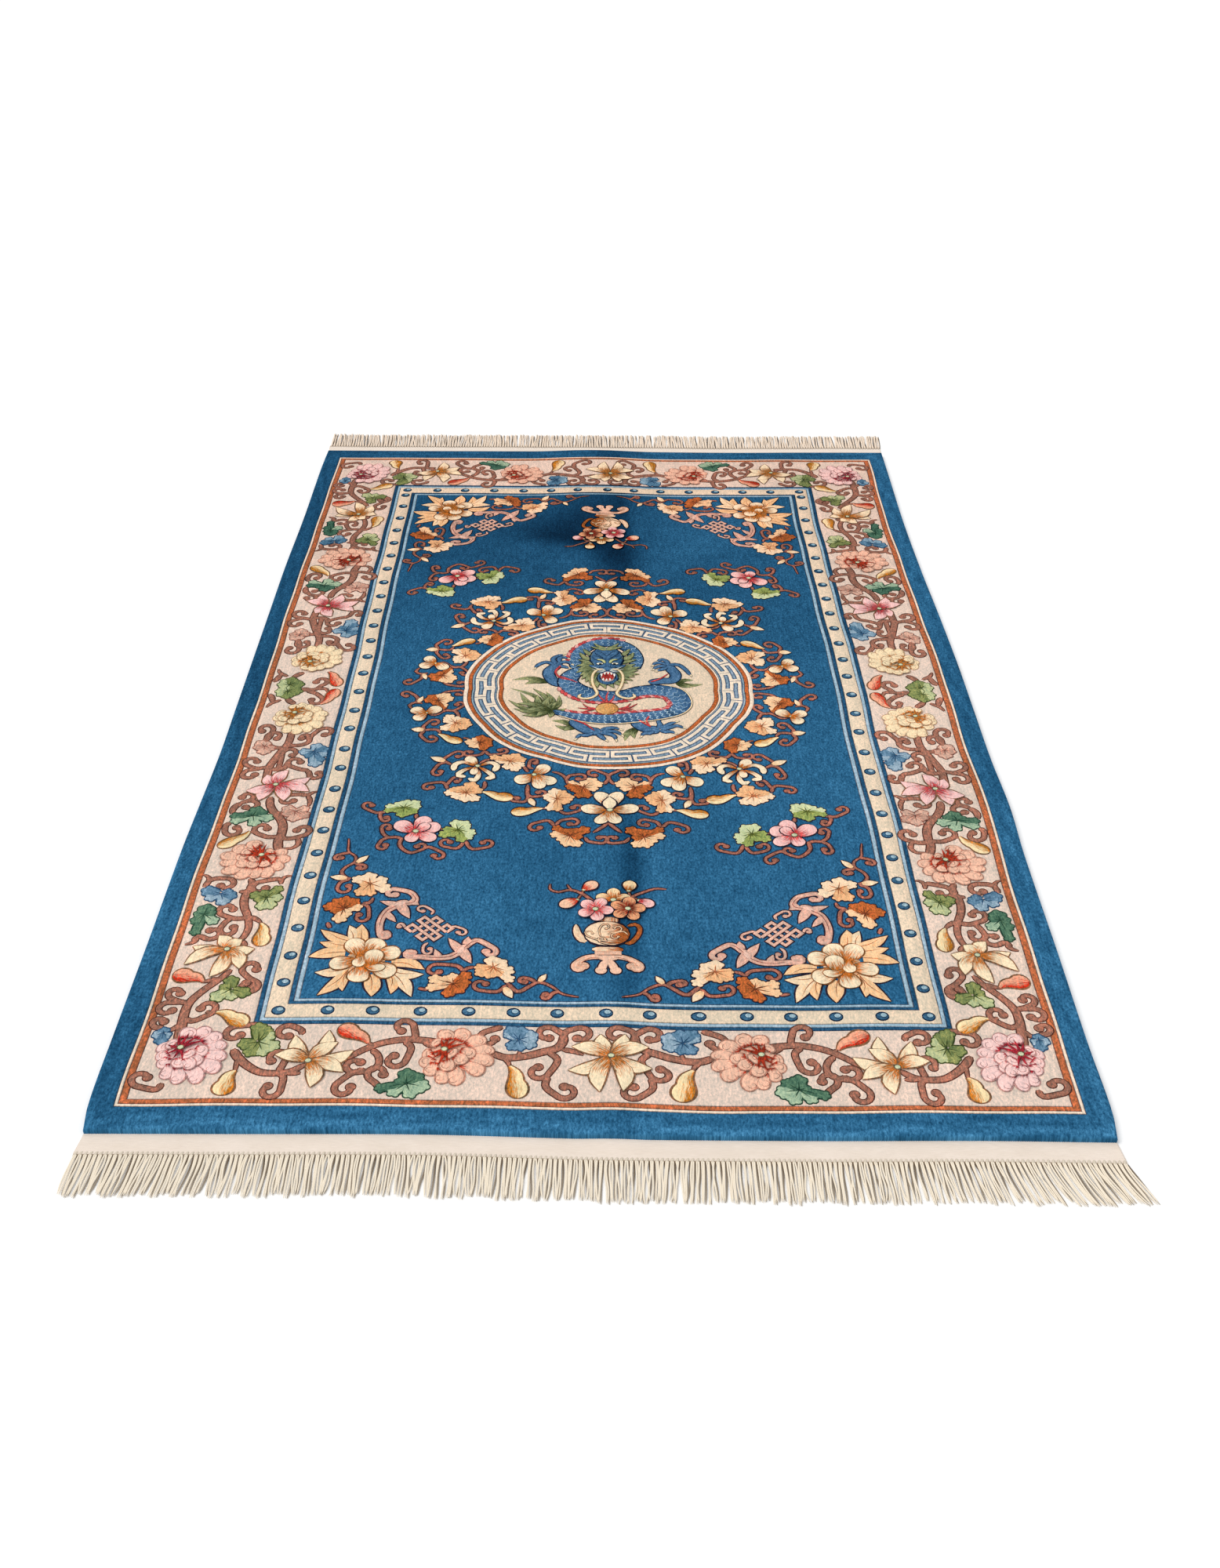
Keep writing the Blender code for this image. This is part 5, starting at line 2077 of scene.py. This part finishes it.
SPRAY_SMALL_LEAVES = table(
    "base tip half",
    ((-448, -636), (-478, -632), 8),
    ((-437, -591), (-419, -570), 7),
    ((-155, -911), (-141, -936), 8),
    ((-100, -895), (-89, -877), 6),
)
# Pointed leaves round the corner flower
CORNER_BLADES = table(
    "base tip half bend light",
    ((-416, -806), (-426, -763), 11, -0.10, 1),
    ((-414, -806), (-474, -774), 12, 0.08, 0),
    ((-412, -812), (-471, -806), 12, 0.10, 0),
    ((-399, -806), (-405, -760), 14, 0.06, 0),
    ((-424, -831), (-484, -842), 14, -0.06, 0),
    ((-412, -870), (-467, -880), 12, 0.10, 1),
    ((-412, -872), (-455, -935), 13, 0.08, 0),
    ((-412, -876), (-415, -925), 11, -0.12, 0),
    ((-375, -885), (-367, -937), 15, 0.05, 0),
    ((-345, -874), (-289, -882), 12, -0.10, 1),
    ((-345, -876), (-303, -936), 13, 0.08, 1),
    ((-345, -880), (-337, -930), 11, 0.12, 0),
    ((-345, -856), (-289, -870), 12, 0.14, 0),
)
CORNER_PETALS = table(
    "base tip half bend",
    ((-396, -842), (-421, -800), 19, -0.05),
    ((-384, -836), (-370, -798), 19, 0.05),
    ((-376, -842), (-333, -829), 18, 0.05),
    ((-402, -852), (-446, -860), 17, 0.05),
    ((-392, -866), (-396, -904), 19, 0.0),
    ((-374, -858), (-337, -884), 19, -0.05),
    ((-400, -838), (-404, -866), 12, 0.2),
    ((-378, -866), (-374, -826), 17, 0.0),
    ((-388, -862), (-354, -866), 9, -0.2),
)
PINK_PETALS = table(
    "tip half bend",
    ((-381, -469), 18, 0.05),
    ((-331, -452), 17, -0.05),
    ((-299, -483), 18, 0.05),
    ((-304, -522), 15, -0.05),
    ((-354, -529), 14, 0.05),
    ((-326, -474), 12, -0.15),
)
# Two bats: wings as curls, then pointed ears, barbs and tails
BAT_WINGS = table(
    "points ball turn half radius",
    (((-337, -703), (-322, -698), (-321, -688), (-332, -672)), (-357, -679), 1, 6.0, 11),
    (((-350, -708), (-366, -722), (-374, -746), (-375, -766)), (-362, -781), 1, 7.0, 8),
    (((-234, -828), (-252, -840), (-276, -842), (-296, -840)), (-313, -830), -1, 7.0, 8),
    (((-228, -818), (-216, -803), (-204, -798)), (-191, -825), -1, 6.0, 11),
)
BAT_POINTS = table(
    "base tip half",
    ((-330, -694), (-313, -706), 8),
    ((-346, -708), (-381, -697), 8),
    ((-344, -708), (-326, -742), 10),
    ((-366, -730), (-348, -752), 7),
    ((-224, -808), (-222, -789), 8),
    ((-234, -824), (-256, -793), 9),
    ((-232, -822), (-213, -855), 10),
    ((-268, -842), (-277, -821), 7),
)
BAT_BODIES = table(
    "centre angle",
    ((-346, -703), 0.5),
    ((-233, -823), 1.1),
)
# A plain knot of interlaced lines between the bats
KNOT_CENTRE = (-290.0, -768.0)
KNOT_GRID = 14.0
KNOT_LINES = (
    ((-2, 1), (2, 1), (2, 0), (-2, 0), (-2, -1), (2, -1), (2, -2), (1, -2)),
    ((1, -2), (1, 2), (0, 2), (0, -2), (-1, -2), (-1, 2), (-2, 2), (-2, 1)),
)
KNOT_HOOKS = table(
    "points ball turn",
    (((-290, -731), (-287, -722)), (-305, -722), 1),
    (((-327, -768), (-334, -762)), (-342, -764), 1),
    (((-253, -768), (-248, -762)), (-240, -778), -1),
    (((-290, -805), (-296, -812)), (-285, -820), 1),
)


def petals(art, rows, colours, reach=0.5, eye_at=None):
    """Rounded petals from a flower's eye, each over the last."""
    low = art.level
    for row in rows:
        art.level += 0.7
        centre = row.get("eye", row.get("base", eye_at))
        petal(
            art, centre, row["tip"], row["half"], colours, from_base(reach),
            bend=row["bend"], start=0.3, peak=0.66, ink_line=1.1,
        )
    art.level = low


def corner_flower(art):
    """The big flower of the corner with its pointed leaves."""
    for row in CORNER_BLADES:
        colours = CREAM_LEAF if row["light"] else PEACH_LEAF
        petal(
            art, row["base"], row["tip"], row["half"], colours, 0.3,
            bend=row["bend"], start=0.7, peak=0.45, pointed=True,
        )
    art.level += 0.9
    for row in CORNER_BLADES:
        tip = np.array(row["base"]) * 0.25 + np.array(row["tip"]) * 0.75
        petal(
            art, row["base"], tip, 0.9, ((168, 98, 62),) * 2, 0.2,
            bend=row["bend"], start=0.8, peak=0.3, pointed=True, ink_line=0,
        )
    # The petals' outlines are painted shade of their carved grooves
    art.ink = (132, 84, 48)
    oval(art, (-388, -850), 32, FIELD_CREAM, shade=0.6, ink_line=0)
    petals(art, CORNER_PETALS, FIELD_CREAM, 0.6)
    art.level -= 0.9


def bats_and_knot(art):
    """Two bats either side of the plain knot."""

    def wings():
        for row in BAT_POINTS:
            petal(art, row["base"], row["tip"], row["half"], BAT, 0.3, start=1.0, peak=0.25, pointed=True)
        all_scrolls(art, BAT_WINGS, None, None, BAT, spot=7.5)
        for row in BAT_BODIES:
            oval(art, row["centre"], 15, BAT, squash=0.6, angle=row["angle"])

    joined(art, wings)
    art.level += 1.1
    for row in BAT_WINGS:
        stem(art, row["points"], 1.2, 0.7, ((150, 90, 80),) * 2, ink_line=0)
    art.level -= 1.1
    for row in BAT_BODIES:
        art.level += 1.1
        # The body's outline is painted shade of its carved groove
        oval(
            art, row["centre"], 10, ((238, 196, 178), (204, 144, 124)), squash=0.6, angle=row["angle"],
            ink=(140, 76, 66), ink_line=0.9,
        )
        art.level -= 1.1
    turn = math.radians(45)
    spin = np.array([[math.cos(turn), math.sin(turn)], [-math.sin(turn), math.cos(turn)]])
    all_scrolls(art, KNOT_HOOKS, 3.0, 9, BAT, spot=5.0)
    for number, corners in enumerate(KNOT_LINES):
        line = np.array(KNOT_CENTRE) + np.array(corners, float) * KNOT_GRID @ spin
        art.level += 1.1 * number
        stroke(art, line, 3.3, BAT, ink_line=2.0)
        art.level -= 1.1 * number


# Near flower pot; the far one is turned half round
POT_MIDDLE = (11.0, -777.0)
TWIGS = table(
    "points start end",
    (((-10, -696), (-32, -672), (-54, -661), (-74, -667), (-89, -660), (-90, -645)), 3.6, 2.0),
    (((-50, -664), (-56, -655), (-60, -646)), 2.8, 1.4),
    (((-34, -673), (-40, -686)), 2.2, 2.0),
    (((-34, -671), (-30, -662)), 2.2, 2.0),
    (((44, -696), (54, -677), (76, -662), (94, -653), (111, -654)), 3.6, 2.2),
    (((50, -680), (47, -664)), 2.6, 2.2),
    (((52, -678), (66, -686)), 2.2, 2.0),
)
POT_BUDS = table(
    "base tip half kind",
    ((-30, -662), (-9, -641), 13, BUD_PEACH),
    ((47, -663), (50, -636), 13, BLOSSOM_CREAM),
    ((-41, -689), (-70, -706), 13, BUD_PEACH),
    ((65, -688), (91, -699), 12, FIELD_PINK),
)
BLOSSOMS = table(
    "eye size angle petals kind",
    ((21, -690), 31, 90, 3, BLOSSOM_CREAM),
    ((46, -713), 31, 83, 5, BLOSSOM_TAN),
    ((-9, -717), 31, 64, 5, FIELD_PINK),
)
POT_LINES = table(
    "points ball turn",
    (((12, -797), (-4, -795)), (-13, -778), -1),
    (((26, -806), (14, -806)), (8, -793), -1),
    (((0, -786), (-2, -770)), (10, -766), -1),
    (((46, -780), (38, -772)), (30, -786), 1),
    (((12, -780), (20, -776)), (24, -764), 1),
)


def flower_pot(art):
    """A round pot on a scrolled stand, with flowering twigs."""
    all_stems(art, TWIGS, 1, FIELD_VINE)
    stem(art, ((-24, -798), (-36, -783), (-40, -768), (-41, -753)), 10, 4.5, POT, shade=0.25)
    stem(
        art, ((46, -756), (58, -750), (66, -757), (66, -770), (60, -785), (50, -799), (40, -800)), 4.2,
        4.6, POT, shade=0.95,
    )
    stand = ((6, -836), (-12, -835), (-28, -839))
    scroll(art, stand, (-29, -857), 1, 6.5, 10, POT_STAND, spot=10)
    scroll(art, [(18 - x, y) for x, y in stand], (51, -857), -1, 6.5, 10, POT_STAND, spot=10)
    stem(art, ((-8, -834), (12, -838), (32, -834)), 8, 8, POT_STAND, shade=0.2)
    for x, y in ((0, -868), (24, -868)):
        stem(art, ((12, -842), ((12 + x) / 2 - 1, -852), (x, y)), 6, 9, POT_STAND, shade=0.2)
        oval(art, (x, y), 9.5, POT_STAND)
    art.level += 0.8
    inner = ((-4, -837), (-16, -838), (-27, -844), (-32, -853))
    for points in (inner, [(18 - x, y) for x, y in inner]):
        stem(art, points, 0.9, 0.7, ((176, 112, 88),) * 2, ink_line=0)
    stem(art, ((-10, -826), (34, -826)), 5.5, 5.5, POT_STAND, shade=0.4, cap=False)
    stem(art, ((-14, -817), (37, -817)), 6.5, 6.5, POT, shade=lambda t, v: 0.1 + 0.7 * t + 0 * v)
    petal(art, (13, -760), (13, -734), 19, POT, 0.5, start=0.8, peak=0.8)
    art.level += 0.8
    oval(
        art, POT_MIDDLE, 38, POT, squash=0.9, shade=lambda t, v: np.clip(2.8 * t - 1.1 + 0.15 * v, 0, 1),
        rise=0.9,
    )
    art.level += 3.2
    all_scrolls(art, POT_LINES, 1.5, 8, POT_RELIEF, spot=2.4, line=1.2)
    for row in POT_BUDS:
        petal(
            art, row["base"], row["tip"], row["half"], row["kind"], from_base(0.45), start=0.35,
            peak=0.55,
        )
        eye(art, row["base"], 3.0)
    for row in BLOSSOMS:
        art.level += 1.2
        for number in range(row["petals"]):
            offset = number - (row["petals"] - 1) / 2
            tip = around(row["eye"], row["size"], row["angle"] + 360 / 5 * offset)
            art.level += 0.3
            petal(
                art, row["eye"], tip, 12.5, row["kind"], from_base(0.62), start=0.2, peak=0.62,
                ink_line=1.1,
            )
        art.level += 0.8
        eye(art, row["eye"], 4.6)
    art.level = 1.0


def small_leaves(art, rows):
    """Single pointed leaves."""
    for row in rows:
        petal(
            art, row["base"], row["tip"], row["half"], CREAM_LEAF, from_base(0.4), start=0.5, peak=0.4,
            pointed=True,
        )


def vines(art, stems, scrolls, leaves):
    """Field stems, curls and leaves from their tables."""
    art.level = 1.0
    art.ink = FIELD_GROOVE_SHADE

    def draw():
        all_stems(art, stems, FIELD_WIDEN, FIELD_VINE)
        all_scrolls(art, scrolls, FIELD_CURL, None, FIELD_VINE, spot=6.4)

    joined(art, draw)
    art.level = 2.0
    for row in leaves:
        leaf(art, row["centre"], row["lobes"], row["kind"])


def wreath_art():
    """The garland round the medallion."""
    art = Art()
    art.copies = WREATH
    vines(art, WREATH_STEMS, WREATH_SCROLLS, WREATH_LEAVES)
    small_leaves(art, SMALL_LEAVES)
    for row in WREATH_BUDS:
        bud(art, row["thin"], row["fat"], row["half"], row["kind"], row["side"], lobed=-1)
    petals(art, WREATH_PETALS, FIELD_CREAM, 0.6)
    petal(art, (-250, -280), (-268, -253), 13, FIELD_CREAM, from_base(0.35), start=0.4, peak=0.6)
    for row in CURLED_FLOWER:
        art.level += 0.4
        stem(art, row["points"], row["start"], row["end"], FIELD_CREAM, shade=from_base(0.55))
    petal(art, (-250, -290), (-254, -315), 9, FIELD_CREAM, from_base(0.4), start=0.4, peak=0.6)
    art.level += 2.0
    for centre in ((-246, -286), (-136, -314), (-366, -99)):
        eye(art, centre, 4.2)
    art.copies = ENDS_ONLY
    art.level = 2.0
    petals(art, CENTRE_PETALS, FIELD_CREAM, 0.62, (9, -428))
    art.level = 6.6
    petal(art, (8, -424), (8, -386), 14, FIELD_CREAM, 0.1, start=0.3, peak=0.45, pointed=True)
    art.level = 7.6
    eye(art, (9, -428), 5.0)
    return art


def spray_art():
    """Corner sprays, sprigs, bats and knots of the field."""
    art = Art()
    art.copies = QUARTERS
    vines(art, SPRAY_STEMS, SPRAY_SCROLLS, SPRAY_LEAVES)
    small_leaves(art, SPRAY_SMALL_LEAVES)
    art.level = 3.0
    petals(art, PINK_PETALS, FIELD_PINK, 0.55, (-343, -498))
    art.level = 8.0
    eye(art, (-343, -498), 5.0)
    art.level = 1.5
    corner_flower(art)
    art.level = 1.0
    art.ink = FIELD_GROOVE_SHADE
    bats_and_knot(art)
    art.copies = POTS
    art.level = 1.0
    flower_pot(art)
    return art


TASSELS = 208
KNOT_LENGTH = 8.0
YARN_RADII = (1.42, 1.2)
RIBS = 448


def web_art(end):
    """One woven end: ribs along the warps, between the pile and the fringe."""
    art = Art()
    x = np.linspace(-HALF_WIDTH, HALF_WIDTH, 2 * RIBS + 1)
    rib = 0.32 * np.cos(np.arange(len(x)) * np.pi)
    x, rib = np.r_[x[0], x, x[-1]], np.r_[0, rib, 0]
    out = np.array([-4.0, -4.0, -0.5, 5.0, 12.0, 19.0, 26.0, 32.0, 36.4, 36.5])
    out = np.where(out > 0, out * end["web"] / WEB_DEPTH, out)
    height = np.broadcast_to(WEB_THICKNESS + rib, (len(out), len(x))).copy()
    height[:, [0, -1]] = 0.0
    height[[0, -1]] = 0.0
    height[1:-1, 1:-1] += 0.25 * np.sin(x[1:-1] / 37)[None] * np.sin(out[1:-1] / 9)[:, None]
    flat = np.stack(np.meshgrid(x, end["side"] * (HALF_LENGTH + out)), -1)
    # Painted shadow beside the pile's edge, darkest at the root and gone some 7 mm out; it stays in the
    # mesh's values, which the woven cotton material does not read
    shade = np.broadcast_to(np.clip(0.75 - out / 9, 0, 1)[:, None], flat.shape[:2])
    art.patch(flat, height, "web", (196, 176, 150), shade, plain_grain(flat))
    flat = np.stack(
        np.meshgrid(
            np.linspace(HALF_WIDTH, -HALF_WIDTH, 41), end["side"] * (HALF_LENGTH + out[[0, 4, 9]]),
        ),
        -1,
    )
    art.patch(flat, np.zeros(flat.shape[:2]), "web", "web", 0.0, plain_grain(flat))
    return art


def yarn(art, line, radii, height, shade):
    """A yarn along a line: a flattened tube that tapers a little to its cut end."""
    angle = np.linspace(0, 2 * np.pi, 6)
    along = np.gradient(line, axis=0)
    along = along / np.maximum(np.hypot(*along.T)[:, None], 1e-6)
    normal = np.stack([-along[:, 1], along[:, 0]], -1)
    taper = 1 - 0.25 * steps(len(line)) ** 3
    taper[-1] *= 0.35
    flat = line[:, None] + normal[:, None] * (
        np.cos(angle) * radii[0]
    )[None, :, None] * taper[:, None, None]
    z = height + radii[1] * (1 + np.sin(angle)[None] * taper[:, None])
    run = np.r_[0, np.cumsum(np.hypot(*np.diff(line, axis=0).T))]
    grain = np.stack(np.broadcast_arrays(angle[None] * 2.5, run[:, None]), -1)
    art.patch(flat, z, "yarn", "yarn shadow", shade, grain)


def fringe_art(end, random):
    """One fringe: knotted tassels of two yarns, over an under layer of yarn in painted shadow that fills
    the gaps.
    """
    art = Art()
    side = end["side"]
    root = HALF_LENGTH + end["web"]
    pitch = 2 * HALF_WIDTH / TASSELS
    drift = np.convolve(random.normal(0, 3.8, TASSELS + 12), np.ones(13) / 6, "valid")
    for number in range(TASSELS):
        x = (number + 0.5) * pitch - HALF_WIDTH
        corner = end["right"] if x > 0 else -end["left"]
        lean = corner * abs(x / HALF_WIDTH) ** 3 + drift[number] + random.normal(0, 1.9)
        reach = end["reach"] + 3 - random.uniform(0, 8)
        share = steps(10)
        # Two yarns on top, and the under layer's yarn in painted shadow that lightens towards its tip
        for offset, layer in ((-1.35, 0), (1.35, 0), (3.6, 1)):
            sway = random.normal(0, 1.2) * np.sin(np.pi * share)
            sway = sway + random.normal(0, 0.7) * np.sin(2 * np.pi * share)
            across = x + offset * (1 - 0.12 * share) + (lean + random.normal(0, 0.7)) * share**1.3 + sway
            line = np.stack([across, side * (root + 2 + (reach - random.uniform(0, 3)) * share)], -1)
            radii = (YARN_RADII[0] * random.uniform(0.92, 1.06), YARN_RADII[1])
            yarn(art, line, radii, 0.0 if layer else 1.1, 1.0 - 0.35 * share[:, None] if layer else 0.0)
        tilt = 1.6 * side
        knot = np.array(
            [
                (x - tilt, side * (root - 4.5)), (x, side * root),
                (x + tilt * 0.4, side * (root + KNOT_LENGTH - 3)),
            ]
        )
        art.base = 1.6
        art.level = 1.0
        # The knot's sides and outline are painted shade
        stem(
            art, knot, 2.7, 2.3, ("yarn", "yarn shadow"), samples=7, rise=1.4, ink=(150, 128, 100),
            ink_line=0.9,
        )
    return art


PHOTO_HEIGHT = 2000
FOCAL_PIXELS = 1963.8
CAMERA_PLACE = (0.0305, -2.7441, 1.7262)
CAMERA_TILT = math.radians(54.488)
CAMERA_PAN = math.radians(0.331)


def camera():
    """The photograph's view."""
    data = bpy.data.cameras.new("camera")
    data.sensor_fit = "VERTICAL"
    data.sensor_height = 36.0
    data.lens = 36.0 * FOCAL_PIXELS / PHOTO_HEIGHT
    made = bpy.data.objects.new("camera", data)
    bpy.context.scene.collection.objects.link(made)
    turn = Matrix.Rotation(CAMERA_PAN, 4, "Z") @ Matrix.Rotation(CAMERA_TILT, 4, "X")
    made.matrix_world = Matrix.Translation(CAMERA_PLACE) @ turn
    bpy.context.scene.camera = made


def sun_light(name, place, power, colour):
    """A soft lamp, alike over the whole floor, that shines from a place to the rug's middle."""
    data = bpy.data.lights.new(name, "SUN")
    data.energy = power
    data.angle = math.radians(34)
    data.color = colour
    lamp = bpy.data.objects.new(name, data)
    bpy.context.scene.collection.objects.link(lamp)
    lamp.location = place
    direction = -lamp.location
    lamp.rotation_euler = direction.to_track_quat("-Z", "Y").to_euler()


def studio():
    """Plain pale floor and soft light."""
    data = bpy.data.meshes.new("floor")
    data.from_pydata([(-60, -20, 0), (60, -20, 0), (60, 200, 0), (-60, 200, 0)], [], [(0, 1, 2, 3)])
    floor = bpy.data.objects.new("floor", data)
    bpy.context.scene.collection.objects.link(floor)
    floor.location.z = -0.0005
    paint = bpy.data.materials.new("floor")
    paint.use_nodes = True
    surface = paint.node_tree.nodes["Principled BSDF"]
    surface.inputs["Base Color"].default_value = (0.98, 0.98, 0.98, 1)
    surface.inputs["Roughness"].default_value = 0.9
    surface.inputs["Specular IOR Level"].default_value = 0.0
    surface.inputs["Emission Color"].default_value = (1, 1, 1, 1)
    surface.inputs["Emission Strength"].default_value = 0.06
    data.materials.append(paint)
    world = bpy.data.worlds.new("world")
    world.use_nodes = True
    sky = world.node_tree.nodes["Background"]
    sky.inputs["Color"].default_value = (1, 1, 1, 1)
    sky.inputs["Strength"].default_value = 0.72
    bpy.context.scene.world = world
    sun_light("key", (-1.9, -0.6, 2.6), 1.32, (1, 0.99, 0.975))
    bpy.context.scene.view_settings.view_transform = "Standard"


wool = carved_wool()
camera()
studio()

rug = pile().build("pile", wool, weld=True)
figures = [
    medallion_art().build("medallion", wool),
    dragon_art().build("dragon", wool),
    border_vine_art().build("border_vines", wool),
    border_flower_art().build("border_flowers", wool),
    wreath_art().build("wreath", wool),
    spray_art().build("field_sprays", wool),
    bead_art().build("beads", wool),
]
for piece in (rug, *figures):
    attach(piece, "root")
    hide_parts("rug")

weave = woven_cotton()
cotton = cotton_yarn()
random = np.random.default_rng(7)
for end in ENDS:
    web = web_art(end).build(f"web_{end['name']}", weave)
    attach(web, "root")
    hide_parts("rug")
    fringe = fringe_art(end, random).build(f"tassels_{end['name']}", cotton)
    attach(fringe, "root")
    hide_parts(f"fringe_{end['name']}")
